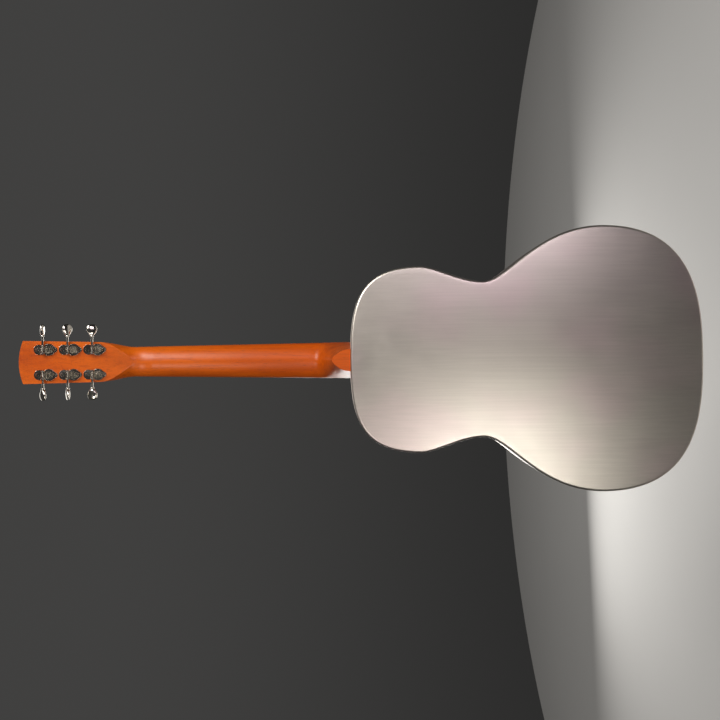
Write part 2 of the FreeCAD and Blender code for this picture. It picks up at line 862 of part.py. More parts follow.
def make_tailpiece():
    """One bent strap: a tab under the strap button, a plate up the front, and a slotted lip."""
    t = d.tail_plate
    lip_z, plate_y = lip_place()
    corner_y = top_y - 4 * t
    profile = [
        Vector(0, d.pin_base_rad + 3, tail_z - t),
        Vector(0, d.pin_base_rad + 3, tail_z),
        Vector(0, corner_y + t, tail_z),
        Vector(0, plate_y + t, lip_z - t),
        Vector(0, plate_y + t, lip_z),
        Vector(0, plate_y + t - d.lip_height, lip_z),
        Vector(0, plate_y + t - d.lip_height, lip_z - t),
        Vector(0, plate_y, lip_z - t),
        Vector(0, corner_y, tail_z - t),
    ]
    strap = Part.Face(Part.makePolygon(profile + profile[:1])).extrude(Vector(d.tail_wide, 0, 0))
    strap.translate(Vector(-d.tail_wide / 2, 0, 0))
    wide, narrow = d.tail_wide / 2, d.tail_narrow / 2
    plan = [
        Vector(-narrow, -FAR, tail_z - FAR),
        Vector(narrow, -FAR, tail_z - FAR),
        Vector(narrow, -FAR, tail_z + d.tail_reach * 0.12),
        Vector(wide, -FAR, lip_z - d.tail_reach * 0.3),
        Vector(wide, -FAR, lip_z + 1),
        Vector(-wide, -FAR, lip_z + 1),
        Vector(-wide, -FAR, lip_z - d.tail_reach * 0.3),
        Vector(-narrow, -FAR, tail_z + d.tail_reach * 0.12),
    ]
    cutter = Part.Face(Part.makePolygon(plan + plan[:1])).extrude(Vector(0, 2 * FAR, 0))
    strap = strap.common(cutter)
    holes = [rod(Vector(0, 0, 0), Vector(0, 0, tail_z + 1), d.pin_screw_rad + d.running_gap)]
    for i in range(1, 7):
        x = string_across(i, d.bridge_spread)
        holes.append(
            box(
                Vector(x - d.slot_width / 2, plate_y + t - d.lip_height - 1, lip_z - 2 * t),
                Vector(x + d.slot_width / 2, plate_y - 1.2, lip_z + 1),
            )
        )
    keep_shape(strap.cut(holes), "tailpiece")


def make_strap_button():
    head = "pin_head_thick/2"
    body = turned(
        "button_turning",
        [
            ("0", "0-" + head),
            ("pin_head_rad-0.8", "0-" + head),
            ("pin_head_rad", "0.8-" + head),
            ("pin_head_rad", head),
            ("pin_neck_rad+0.6", f"{head}+0.9"),
            ("pin_neck_rad", f"{head}+1.8"),
            ("pin_neck_rad", f"{head}+pin_neck_long"),
            ("pin_base_rad", f"{head}+pin_neck_long"),
            ("pin_base_rad", f"{head}+pin_neck_long+pin_base_thick"),
            ("pin_screw_rad", f"{head}+pin_neck_long+pin_base_thick"),
            ("pin_screw_rad", f"{head}+pin_neck_long+pin_base_thick+pin_screw_long"),
            ("0", f"{head}+pin_neck_long+pin_base_thick+pin_screw_long+2"),
        ],
    )
    keep(body, "strap_button")
    return moved(own_shape(body), Placement())


# ---------------------------------------------------------------- neck


def keel_depth(from_joint):
    """How deep the neck is behind the fingerboard: a slow taper, and near the joint the heel's
    keel, which runs on past the cap plane that trims it."""
    half_scale = d.scale_length / 2
    taper = d.neck_depth_heel + (d.neck_depth_nut - d.neck_depth_heel) * from_joint / half_scale
    if from_joint >= d.heel_reach:
        return taper
    share = 1 - (from_joint / d.heel_reach) ** 2
    return taper + (d.heel_keel - d.neck_depth_heel) * share**4


def keel_power(from_joint):
    """The section's roundness: near 2 is a half ellipse, near 1 a straight-sided keel."""
    if from_joint >= d.heel_reach:
        return 1.8
    share = min(1, 1.6 * (1 - from_joint / d.heel_reach))
    return 1.8 - 0.8 * share


def section(at, half_width, depth, power, y_shift=0.0, tilt=0.0):
    """A neck section: flat against the fingerboard, a superellipse behind. The tilt turns it
    about the fingerboard line, for the bend at the nut."""
    count = 17
    points = []
    for i in range(count):
        a = math.pi * i / (count - 1)
        c, s = math.cos(a), math.sin(a)
        x = half_width * math.copysign(abs(c) ** (2 / power), c)
        y = depth * abs(s) ** (2 / power)
        points.append(Vector(x, y, 0))
    curve = Part.BSplineCurve()
    curve.interpolate(points)
    flat = Part.LineSegment(points[-1], points[0])
    wire = Part.Wire([curve.toShape(), flat.toShape()])
    wire.Placement = Placement(Vector(0, y_shift, at), Rotation(X_AXIS, -tilt))
    return wire


def head_outline():
    """The headstock's plan from the nut: it widens in a soft S, then flares to a bowed tip."""
    half_nut, half_wide, half_tip = d.nut_width / 2, d.head_wide / 2, d.head_tip_width / 2
    shoulder = d.head_wide_from_nut
    tip = d.head_long - d.head_tip_bow
    right = Part.BezierCurve()
    right.setPoles([
        Vector(half_nut, 0, 0),
        Vector(half_nut, 0, shoulder * 0.35),
        Vector(half_wide, 0, shoulder * 0.55),
        Vector(half_wide, 0, shoulder),
    ])
    left = Part.BezierCurve()
    left.setPoles([Vector(-p.x, 0, p.z) for p in right.getPoles()])
    edges = [
        right.toShape(),
        Part.makeLine(Vector(half_wide, 0, shoulder), Vector(half_tip, 0, tip)),
        Part.Arc(
            Vector(half_tip, 0, tip), Vector(0, 0, d.head_long), Vector(-half_tip, 0, tip)
        ).toShape(),
        Part.makeLine(Vector(-half_tip, 0, tip), Vector(-half_wide, 0, shoulder)),
        left.toShape(),
        Part.makeLine(Vector(-half_nut, 0, 0), Vector(half_nut, 0, 0)),
    ]
    return Part.Face(Part.Wire(Part.__sortEdges__(edges)))


def tuner_places():
    """Each tuner's string number, side (+1 treble) and distance from the nut."""
    order = [(1, 1, 0), (2, 1, 1), (3, 1, 2), (4, -1, 2), (5, -1, 1), (6, -1, 0)]
    return [(n, side, d.tuner_first + step * d.tuner_pitch) for n, side, step in order]


def post_holes():
    """The headstock's bores, which the bushings press into."""
    bores = []
    for _n, side, along in tuner_places():
        x = side * d.tuner_across / 2
        start = Vector(x, -d.overlay_thick - 1, along)
        bores.append(rod(start, Vector(x, d.head_thick + 1, along), d.bushing_rad))
    return bores


def rod_channel():
    """The truss rod's channel and the adjuster's pocket, in the neck frame."""
    half_scale = d.scale_length / 2
    r = d.rod_rad + d.rod_clearance
    channel = box(
        Vector(-r, 0, d.rod_start), Vector(r, d.rod_deep + r, half_scale + d.nut_thick + 2)
    )
    wide = d.rod_nut_rad + 1.5
    pocket = box(
        Vector(-wide, -d.head_thick, half_scale + d.nut_thick),
        Vector(wide, d.rod_deep + wide, half_scale + d.nut_thick + d.rod_nut_long + 10),
    )
    return channel, pocket


def make_neck(outer, tongue):
    """Shaft, heel, tongue and headstock carved from one blank, trimmed to the body."""
    half_scale = d.scale_length / 2
    heel = [
        section(z, half_board(z), keel_depth(z), keel_power(z))
        for z in [d.heel_reach * step / 8 for step in range(-1, 9)]
    ]
    heel_solid = Part.makeLoft(heel, True, False)
    shaft = [
        section(z, half_board(z), keel_depth(z), 1.8)
        for z in (d.heel_reach, half_scale - 30, half_scale)
    ]
    shaft.append(section(half_scale + d.nut_thick, d.nut_width / 2, d.neck_depth_nut, 1.8))
    shaft_solid = Part.makeLoft(shaft, True, True)
    bend = [section(half_scale - 2, d.nut_width / 2, d.neck_depth_nut, 1.8)]
    for step, power in ((0.25, 2.2), (0.55, 3.2), (0.9, 5.0)):
        along = d.head_wide_from_nut * step * 0.8
        tilt = d.head_angle
        z = half_scale + d.nut_thick + along * math.cos(math.radians(tilt))
        y = along * math.sin(math.radians(tilt))
        half = (d.nut_width + (d.head_wide - d.nut_width) * step**1.6 * 0.7) / 2 - 0.4
        bend.append(section(z, half, d.head_thick - 0.1, power, y, tilt))
    bend_solid = Part.makeLoft(bend, True, False)

    slab = head_outline().extrude(Vector(0, d.head_thick, 0))
    slab = slab.cut(post_holes())
    slab = slab.cut(tuner_screw_holes())
    slab.Placement = Placement(
        Vector(0, 0, half_scale + d.nut_thick), Rotation(X_AXIS, -d.head_angle)
    )
    extension = half_scale + fret_place(FRET_COUNT) - half_scale - d.board_end
    half_end = half_board(extension) - d.tongue_inset
    tongue_block = box(
        Vector(-half_end + 1, 0, extension), Vector(half_end - 1, d.neck_depth_heel, 0.5)
    )
    channel, pocket = rod_channel()
    blank = heel_solid.fuse([shaft_solid, bend_solid, slab, tongue_block])
    blank = blank.cut([channel, pocket])
    nut_seat = box(
        Vector(-d.nut_width, -d.head_thick, half_scale),
        Vector(d.nut_width, 0, half_scale + d.nut_thick),
    )
    head_front = box(
        Vector(-d.head_wide, -d.head_thick, -d.nut_thick),
        Vector(d.head_wide, 0, d.head_long),
    )
    head_front = moved(head_front, HEAD)
    blank = moved(blank.cut(nut_seat), NECK).cut(head_front)
    cap = box(
        Vector(-FAR, d.rim_depth / 2 - d.heel_setback, -FAR), Vector(FAR, FAR, joint_z + 90)
    )
    below = box(Vector(-FAR, top_y, -FAR), Vector(FAR, FAR, joint_z - 60))
    neck = blank.cut([outer, cap, below, tongue])
    solids = sorted(neck.Solids, key=lambda s: s.Volume)
    keep_shape(solids[-1], "neck")


def board_solid():
    """The fingerboard in the neck frame: a tapered slab with a round top."""
    half_scale = d.scale_length / 2
    low = fret_place(FRET_COUNT) - d.board_end
    corners = [
        Vector(half_board(low), 0, low),
        Vector(half_board(half_scale), 0, half_scale),
        Vector(-half_board(half_scale), 0, half_scale),
        Vector(-half_board(low), 0, low),
    ]
    face = Part.Face(Part.makePolygon(corners + corners[:1]))
    slab = face.extrude(Vector(0, -d.board_thick, 0))
    return slab.common(crowning(d.board_thick, low - 5, half_scale + 5))


def fret(count):
    """One fret: a domed crown and a tang, bent to the board's radius."""
    at = fret_place(count)
    half, high = d.fret_wide / 2, d.fret_high
    top = -d.board_thick
    tang, deep = d.tang_thick / 2, d.tang_deep
    crown = Part.Arc(
        Vector(0, top, at - half), Vector(0, top - high, at), Vector(0, top, at + half)
    ).toShape()
    corners = [
        Vector(0, top, at + half),
        Vector(0, top, at + tang),
        Vector(0, top + deep, at + tang),
        Vector(0, top + deep, at - tang),
        Vector(0, top, at - tang),
        Vector(0, top, at - half),
    ]
    face = Part.Face(Part.Wire([crown] + Part.makePolygon(corners).Edges))
    middle = Vector(0, d.board_radius - d.board_thick, 0)
    sweep = math.degrees(2 * math.asin((half_board(at) - 0.2) / d.board_radius))
    face.rotate(middle, Z_AXIS, -sweep / 2)
    return face.revolve(middle, Z_AXIS, sweep)


def marker_blanks():
    """The inlaid dots' cylinders, midway between frets, two at the octave."""
    blanks = []
    for count, dots in MARKED_FRETS.items():
        at = (fret_place(count) + fret_place(count - 1)) / 2
        for k in range(dots):
            x = (k - (dots - 1) / 2) * half_board(at) * 0.9
            start = Vector(x, -d.board_thick - 1, at)
            blanks.append(
                rod(start, Vector(x, -d.board_thick + d.marker_thick, at), d.marker_rad)
            )
    return blanks


def make_fingerboard():
    blank = board_solid()
    frets = [fret(count) for count in range(1, FRET_COUNT + 1)]
    dots = [dot.common(blank) for dot in marker_blanks()]
    keep_shape(blank.cut(frets + dots), "fingerboard", NECK)
    keep_shape(Part.makeCompound([f.Solids[0] for f in frets]), "frets", NECK)
    keep_shape(Part.makeCompound([p.Solids[0] for p in dots]), "fret_markers", NECK)


def make_nut(tubes):
    """The bone nut between the board's end and the headstock's overlay."""
    half_scale = d.scale_length / 2
    top = d.board_thick + d.fret_high + d.nut_clearance + 0.1
    blank = box(
        Vector(-d.nut_width / 2, -top, half_scale),
        Vector(d.nut_width / 2, 0, half_scale + d.nut_thick),
    )
    blank = blank.common(crowning(top, half_scale - 5, half_scale + 20))
    back = []
    for edge in blank.Edges:
        span = edge.BoundBox
        on_top = span.YMax < -top + 2 and span.XLength > d.nut_width / 4
        if on_top and span.ZMin > half_scale + d.nut_thick - 0.01:
            back.append(edge)
    blank = blank.makeFillet(d.nut_thick * 0.4, back)
    keep_shape(moved(blank, NECK).cut(tubes), "nut")


def make_overlay():
    """The thin veneer on the headstock's front, and the truss rod cover with its screws."""
    face = head_outline()
    veneer = face.extrude(Vector(0, -d.overlay_thick, 0)).cut(post_holes())
    veneer = moved(veneer, HEAD)
    _channel, pocket = rod_channel()
    behind_nut = box(
        Vector(-FAR, -FAR, d.scale_length / 2 - 20),
        Vector(FAR, FAR, d.scale_length / 2 + d.nut_thick),
    )
    pocket = moved(pocket, NECK)
    low, tip, wide = 3.0, d.cover_long, d.cover_wide / 2
    narrow = d.cover_tip / 2
    plan = [
        Vector(wide, 0, low),
        Vector(wide, 0, low + d.cover_long * 0.2),
        Vector(narrow, 0, tip),
        Vector(-narrow, 0, tip),
        Vector(-wide, 0, low + d.cover_long * 0.2),
        Vector(-wide, 0, low),
    ]
    plate = Part.Face(Part.makePolygon(plan + plan[:1])).extrude(Vector(0, -d.cover_plate, 0))
    upright = [e for e in plate.Edges if e.BoundBox.YLength > d.cover_plate * 0.9]
    plate = plate.makeFillet(d.cover_tip * 0.3, upright)
    plate.translate(Vector(0, -d.overlay_thick, 0))
    screw = slotted_screw(
        "plate_screw_turning", "plate_screw_rad", "plate_screw_head", "1.2", "plate_screw_long"
    )
    reach = d.rod_nut_rad + 4.4
    spots = [Vector(x, -d.overlay_thick - d.cover_plate, low + 4) for x in (reach, -reach)]
    spots.append(Vector(0, -d.overlay_thick - d.cover_plate, tip - 4.2))
    outward = Rotation(X_AXIS, 90)
    shanks = [rod(s, s + Y_AXIS * (d.plate_screw_long + 2), d.plate_screw_rad) for s in spots]
    keep_shape(plate.cut(shanks), "truss_cover", HEAD)
    copies = [moved(screw, Placement(s, outward)) for s in spots]
    keep_shape(Part.makeCompound(copies), "truss_cover_screws", HEAD)
    drilled = [moved(s, HEAD) for s in copies]
    keep_shape(veneer.cut([pocket, moved(behind_nut, NECK)] + drilled), "head_overlay")
    neck = next(p for p in pieces if p.Label == "neck")
    neck.Shape = neck.Shape.cut(drilled)
    return screw


def make_truss_rod():
    """The rod under the fingerboard and the adjuster that turns on its end."""
    half_scale = d.scale_length / 2
    end = half_scale + d.nut_thick + 3
    bar = rod(Vector(0, d.rod_deep, d.rod_start), Vector(0, d.rod_deep, end), d.rod_rad)
    stud = rod(
        Vector(0, d.rod_deep, end), Vector(0, d.rod_deep, end + d.rod_nut_long * 0.5), d.rod_rad * 0.6
    )
    keep_shape(joined([bar, stud]), "truss_rod", NECK)
    body = turned(
        "rod_nut_turning",
        [
            ("rod_rad*0.6+running_gap", "running_gap"),
            ("rod_nut_rad", "running_gap"),
            ("rod_nut_rad", "rod_nut_long-0.6"),
            ("rod_nut_rad-0.6", "rod_nut_long"),
            ("rod_key", "rod_nut_long"),
            ("rod_key", "rod_nut_long*0.55"),
            ("rod_rad*0.6+running_gap", "rod_nut_long*0.55"),
        ],
    )
    place = NECK.multiply(Placement(Vector(0, d.rod_deep, end), Rotation()))
    keep(body, "truss_nut", place)


# ---------------------------------------------------------------- tuners


def tuner_frame(side, along):
    """A tuner's frame: origin on the post's axis at the headstock's back face, +Z out of the
    back and +X outwards to the button."""
    turn = Rotation(X_AXIS, -90)
    if side < 0:
        turn = turn.multiply(Rotation(Z_AXIS, 180))
    return HEAD.multiply(
        Placement(Vector(side * d.tuner_across / 2, d.head_thick, along), turn)
    )


def worm_offset():
    return d.gear_pitch_rad + d.worm_pitch_rad


def worm_height():
    return d.gear_lift + d.gear_thick / 2


def plate_screw_spots(side):
    """The plate's screws in the tuner frame: one towards the tip, one towards the nut."""
    tip = -side
    return [Vector(0, tip * d.plate_tip_screw, 0), Vector(0, -tip * d.plate_nut_screw, 0)]


def tuner_screw_holes():
    """Pilot holes for the plates' screws, in the headstock's own frame."""
    holes = []
    for _n, side, along in tuner_places():
        to_head = HEAD.inverse().multiply(tuner_frame(side, along))
        for spot in plate_screw_spots(side):
            reach = d.plate_screw_long + 2
            hole = rod(spot + Z_AXIS * 2, spot - Z_AXIS * reach, d.plate_screw_rad)
            holes.append(moved(hole, to_head))
    return holes


def make_plate(side):
    """A tuner's base plate: three joined lobes with two ears that carry the worm."""
    tip = -side
    t = d.plate_thick
    lobes = [
        (tip * (d.plate_tip_screw - d.plate_tip_rad * 0.35), d.plate_tip_rad),
        (0.0, d.plate_gear_rad),
        (-tip * d.plate_nut_screw, d.plate_nut_rad),
    ]
    solids = [Part.makeCylinder(r, t, Vector(0, y, 0)) for y, r in lobes]
    waist = d.plate_tip_rad * 0.9
    solids.append(box_between(-waist, waist, 0, tip * d.plate_tip_screw * 0.8, 0, t))
    shoulder = [
        Vector(-d.plate_gear_rad * 0.94, -tip * d.plate_gear_rad * 0.34, 0),
        Vector(-d.plate_nut_rad * 0.8, -tip * (d.plate_nut_screw + d.plate_nut_rad * 0.6), 0),
        Vector(d.plate_nut_rad * 0.8, -tip * (d.plate_nut_screw + d.plate_nut_rad * 0.6), 0),
        Vector(d.plate_gear_rad * 0.94, -tip * d.plate_gear_rad * 0.34, 0),
    ]
    solids.append(Part.Face(Part.makePolygon(shoulder + shoulder[:1])).extrude(Vector(0, 0, t)))
    axis_y, axis_z = tip * worm_offset(), worm_height()
    top = axis_z + d.worm_shaft + 1.6
    for way in (1, -1):
        inner, outer = way * d.ear_gap, way * (d.ear_gap + d.ear_thick)
        ear = box_between(inner, outer, axis_y - d.ear_wide / 2, axis_y + d.ear_wide / 2, 0, axis_z)
        x = min(inner, outer)
        round_top = Part.makeCylinder(top - axis_z, d.ear_thick, Vector(x, axis_y, axis_z), X_AXIS)
        solids += [ear, round_top]
    plate = joined(solids)
    cuts = [Part.makeCylinder(d.post_rad + d.running_gap, 4 * t, Vector(0, 0, -t))]
    for spot in plate_screw_spots(side):
        cuts.append(Part.makeCylinder(d.plate_screw_rad, 4 * t, spot - Z_AXIS * t))
    cuts.append(rod(
        Vector(-20, axis_y, axis_z), Vector(20, axis_y, axis_z), d.worm_shaft + d.running_gap
    ))
    return plate.cut(cuts)


def box_between(x0, x1, y0, y1, z0, z1):
    """A box from any two opposite corners."""
    low = Vector(min(x0, x1), min(y0, y1), min(z0, z1))
    return box(low, Vector(max(x0, x1), max(y0, y1), max(z0, z1)))


def make_worm_master():
    """The worm and its shaft about its own Z, with the middle of the thread at Z = 0. The
    thread is right-handed, and a ridge faces +Y at Z = 0."""
    inner = "0-ear_gap-ear_thick-0.8"
    outer = "button_start-tuner_across/2+button_long*0.6"
    root = "worm_pitch_rad-gear_dedendum"
    shoulder = "ear_gap-running_gap*2"
    body = turned(
        "worm_turning",
        [
            ("0", inner),
            ("worm_shaft", inner),
            ("worm_shaft", f"0-({shoulder})"),
            (root, f"0-({shoulder})"),
            (root, shoulder),
            ("worm_shaft", shoulder),
            ("worm_shaft", outer),
            ("0", outer),
        ],
    )
    pitch = f"({2 * math.pi / GEAR_TEETH}*gear_pitch_rad)"
    start = f"0-{pitch}*{WORM_TURNS / 2}"
    crest = "worm_pitch_rad+gear_addendum"
    ridge = polygon_sketch(
        body,
        "worm_ridge",
        "XZ_Plane",
        [
            (f"{root}-0.15", f"{start}-0.5"),
            (crest, f"{start}-0.22"),
            (crest, f"{start}+0.22"),
            (f"{root}-0.15", f"{start}+0.5"),
        ],
    )
    doc.recompute()
    thread = body.newObject("PartDesign::AdditiveHelix", "worm_thread")
    thread.Profile = ridge
    thread.ReferenceAxis = (ridge, ["V_Axis"])
    thread.Mode = 0
    thread.setExpression("Pitch", bound(pitch))
    thread.setExpression("Height", bound(f"{pitch}*{WORM_TURNS}"))
    doc.recompute()
    return own_shape(body)


def make_gear_master():
    """The wheel that the worm drives, a tooth gap facing +Y, with its centre screw."""
    body = new_body("gear_wheel")
    outer = "gear_pitch_rad+gear_addendum"
    blank = circle_sketch(
        body, "gear_blank", "XY_Plane", [("0", "0", outer), ("0", "0", "post_stub")]
    )
    pad(body, "gear_pad", blank, "gear_thick")
    root = "gear_pitch_rad-gear_dedendum"
    gap = polygon_sketch(
        body,
        "gear_gap",
        "XY_Plane",
        [("0-0.42", root), ("0.42", root), ("0.84", f"{outer}+0.2"), ("0-0.84", f"{outer}+0.2")],
    )
    cut = pocket_through(body, "gear_cut", gap)
    repeat_round(body, "gear_ring", cut, gap, GEAR_TEETH)
    wheel = own_shape(body)
    dish = Part.makeCylinder(
        d.gear_pitch_rad - d.gear_dedendum - 0.7, 0.5, Vector(0, 0, d.gear_thick - 0.5)
    )
    seat = Part.makeCylinder(d.gear_screw_head + 0.3, 1.0, Vector(0, 0, d.gear_thick - 0.8))
    wheel = wheel.cut(dish.cut(seat))
    screw = slotted_screw(
        "gear_screw_turning", "gear_screw_rad", "gear_screw_head", "gear_screw_high", "4"
    )
    return Part.makeCompound([wheel, moved(screw, Placement(Z_AXIS * d.gear_thick, Rotation()))])


def make_post_master():
    """The string post: through the headstock, with a collar under its gear. The string's hole
    crosses it where the first winding lies."""
    face = "(0-head_thick-overlay_thick)"
    under_gear = "gear_lift"
    body = turned(
        "post_turning",
        [
            ("0", f"{face}-post_up"),
            ("post_rad-0.5", f"{face}-post_up"),
            ("post_rad", f"{face}-post_up+0.5"),
            ("post_rad", f"{face}-string_up-4"),
            ("post_waist", f"{face}-string_up-2.6"),
            ("post_waist", f"{face}-string_up+1.6"),
            ("post_rad", f"{face}-string_up+3"),
            ("post_rad", "plate_thick+0.1"),
            ("post_collar", "plate_thick+0.1"),
            ("post_collar", under_gear),
            ("post_stub", under_gear),
            ("post_stub", "gear_lift+gear_thick"),
            ("gear_screw_rad", "gear_lift+gear_thick"),
            ("gear_screw_rad", "gear_lift+gear_thick-5.3"),
            ("0", "gear_lift+gear_thick-5.3"),
        ],
    )
    hole = circle_sketch(
        body, "post_eye", "XZ_Plane", [("0", f"{face}-string_up-2", "post_hole")]
    )
    pocket_through(body, "post_cut", hole)
    return own_shape(body)


def make_button_master():
    """The finger button on the shaft's end: a flat paddle, wide at its outer end."""
    body = turned(
        "stem_turning",
        [
            ("worm_shaft", "0"),
            ("button_stem", "0"),
            ("button_stem+0.6", "3"),
            ("worm_shaft", "3"),
        ],
    )
    stem = own_shape(body)
    root, wide, long, thick = d.button_root, d.button_wide, d.button_long, d.button_thick
    half_plan = [(0.24, 0.1), (0.42, 0.26), (0.49, 0.5), (0.46, 0.74), (0.28, 0.94)]
    neck = [(root * 0.16, 0.02)]
    plan = neck + [(wide * across, up) for across, up in half_plan]
    rim = [Vector(0, across, long * up) for across, up in plan]
    rim.append(Vector(0, 0, long))
    rim += [Vector(0, -p.y, p.z) for p in reversed(rim[:-1])]
    edge = Part.BSplineCurve()
    edge.interpolate(rim, PeriodicFlag=True)
    paddle = Part.Face(Part.Wire(edge.toShape())).extrude(Vector(thick, 0, 0))
    paddle.translate(Vector(-thick / 2, 0, 0))
    rims = [e for e in paddle.Edges if e.BoundBox.XLength < 0.01]
    paddle = paddle.makeFillet(thick * 0.3, rims)
    button = joined([stem, paddle])
    bore = Part.makeCylinder(d.worm_shaft, long * 0.6 + 2, Vector(0, 0, -2))
    return button.cut(bore)


def make_bushing_master():
    body = turned(
        "bushing_turning",
        [
            ("post_rad+running_gap", "0-bushing_lip"),
            ("bushing_flange-0.5", "0-bushing_lip"),
            ("bushing_flange", "0.5-bushing_lip"),
            ("bushing_flange", "0"),
            ("bushing_rad", "0"),
            ("bushing_rad", "bushing_deep"),
            ("post_rad+running_gap", "bushing_deep"),
        ],
    )
    return own_shape(body)


def make_tuners(plate_screw):
    worm, gear = make_worm_master(), make_gear_master()
    post, button, bushing = make_post_master(), make_button_master(), make_bushing_master()
    plates, bushings, screws = [], [], []
    for n, side, along in tuner_places():
        frame = tuner_frame(side, along)
        tip = -side
        plates.append(moved(make_plate(side), frame))
        front = Placement(Vector(0, 0, -d.head_thick - d.overlay_thick), Rotation())
        bushings.append(moved(bushing, frame.multiply(front)))
        for spot in plate_screw_spots(side):
            seat = Placement(spot + Z_AXIS * d.plate_thick, Rotation(Z_AXIS, 30 * n))
            screws.append(moved(plate_screw, frame.multiply(seat)))
        keep_shape(post, f"post_{n}", frame)
        keep_shape(gear, f"gear_{n}", frame.multiply(Placement(Z_AXIS * d.gear_lift, Rotation())))
        along_x = Rotation(Y_AXIS, 90)
        spin = Rotation(Z_AXIS, 0 if tip < 0 else 180)
        axle = Placement(Vector(0, tip * worm_offset(), worm_height()), along_x)
        keep_shape(worm, f"worm_{n}", frame.multiply(axle).multiply(Placement(Vector(), spin)))
        seat = Vector(0, 0, d.button_start - d.tuner_across / 2)
        turn = Rotation(Z_AXIS, BUTTON_TURNS[n - 1])
        keep_shape(button, f"button_{n}", frame.multiply(axle).multiply(Placement(seat, turn)))
    keep_shape(Part.makeCompound(plates), "tuner_plates")
    keep_shape(Part.makeCompound(bushings), "tuner_bushings")
    keep_shape(Part.makeCompound(screws), "tuner_screws")


# ---------------------------------------------------------------- strings


def post_tangent(index):
    """Where a string leaves its straight run and meets its post's winding, in the row frame:
    the tangent from the nut to the inner side of the post."""
    _n, side, along = tuner_places()[index - 1]
    radius = STRING_DIAMETERS[index - 1] / 2
    start = HEAD.inverse().multVec(nut_point(index))
    centre = Vector(side * d.tuner_across / 2, -d.overlay_thick - d.string_up, along)
    run = Vector(centre.x - start.x, 0, centre.z - start.z)
    reach = d.post_rad + radius + d.running_gap
    swing = math.asin(reach / run.Length)
    heading = math.atan2(run.x, run.z) - side * swing
    length = math.sqrt(run.Length**2 - reach**2)
    end = Vector(
        start.x + length * math.sin(heading), centre.y, start.z + length * math.cos(heading)
    )
    return HEAD.multVec(end)


def string_points(index):
    """A string's corners, from its ball behind the lip to its post."""
    lip_z, plate_y = lip_place()
    x = string_across(index, d.bridge_spread)
    anchor = Vector(x, plate_y - 2.0, lip_z - d.tail_plate - 2.0)
    return [anchor, saddle_point(index), nut_point(index), post_tangent(index)]


def bent_path(points, bend_radius):
    """Straight runs joined by tangent arcs."""
    edges, start = [], points[0]
    for before, corner, after in zip(points, points[1:], points[2:]):
        back, on = (before - corner).normalize(), (after - corner).normalize()
        turn = math.pi - back.getAngle(on)
        cut = bend_radius * math.tan(turn / 2)
        first, last = corner + back * cut, corner + on * cut
        towards = (back + on).normalize()
        hub_distance = bend_radius / math.cos(turn / 2)
        middle = corner + towards * (hub_distance - bend_radius)
        edges.append(Part.makeLine(start, first))
        edges.append(Part.Arc(first, middle, last).toShape())
        start = last
    edges.append(Part.makeLine(start, points[-1]))
    return Part.Wire(edges)


def string_tube(index, extra=0.0):
    """A string's round tube, thickened by a clearance when it cuts its own grooves."""
    points = string_points(index)
    radius = STRING_DIAMETERS[index - 1] / 2 + extra
    path = bent_path(points, 6.0)
    circle = Part.Wire(Part.makeCircle(radius, points[0], points[1] - points[0]))
    return path.makePipeShell([circle], True, True)


def make_strings():
    for index in range(1, 7):
        tube = string_tube(index)
        anchor, saddle = string_points(index)[:2]
        way = (saddle - anchor).normalize()
        ball = Part.makeCylinder(1.9, 3.4, anchor - X_AXIS * 1.7, X_AXIS)
        twist = Part.makeCylinder(0.8, 1.9, anchor, way)
        whole = tube.fuse([ball, twist])
        keep_shape(whole, f"string_{index}")


# ---------------------------------------------------------------- assembly


def check(item):
    """Stops the build if a sub-part failed, is empty or is not made of valid solids."""
    state = [s for s in item.State if s in ("Invalid", "Error")]
    shape = item.Shape
    if state or shape.isNull() or not shape.Solids or not shape.isValid():
        raise RuntimeError(f"{item.Label} did not build: {state}")
    if any(solid.Volume <= 0 for solid in shape.Solids):
        raise RuntimeError(f"{item.Label} has a solid with no volume")


def main():
    outer, inner = body_solid(0.0), body_solid(d.sheet_metal)
    stick, tongue = make_stick(inner)
    make_shell(outer, inner, tongue)
    pin = make_strap_button()
    keep_shape(stick.cut(pin), "neck_stick")
    keep_shape(make_stick_posts(inner), "stick_posts")
    make_soundwell()
    make_cone()
    make_biscuit()
    make_biscuit_screw()
    cover = make_coverplate()
    screw = make_cover_screws()
    rest_holes = make_palm_rest(screw)
    plate = moved(own_shape(cover), cover.Placement).cut(rest_holes)
    pieces.remove(cover)
    cover.Label = "coverplate_blank"
    keep_shape(plate, "coverplate")
    make_tailpiece()
    make_neck(outer, tongue)
    make_fingerboard()
    grooves = [string_tube(i, d.string_groove) for i in range(1, 7)]
    make_saddle(grooves)
    make_nut(grooves)
    plate_screw = make_overlay()
    make_truss_rod()
    make_tuners(plate_screw)
    make_strings()
    doc.recompute()
    for item in doc.Objects:
        if any(s in ("Invalid", "Error") for s in item.State):
            raise RuntimeError(f"{item.Label} failed to recompute")
    os.makedirs("parts", exist_ok=True)
    for item in pieces:
        check(item)
    for item in pieces:
        item.Shape.exportStep(f"parts/{item.Label}.step")
    print(len(pieces), "sub-parts written")


main()
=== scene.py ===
"""The looks of a metal-bodied resonator guitar, laid out as an add-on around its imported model.

Every length is in metres, in the model's own frame: +Z runs up the neck, +X is the treble side,
the strings face -Y, and the origin is the middle of the strap button's head.
"""

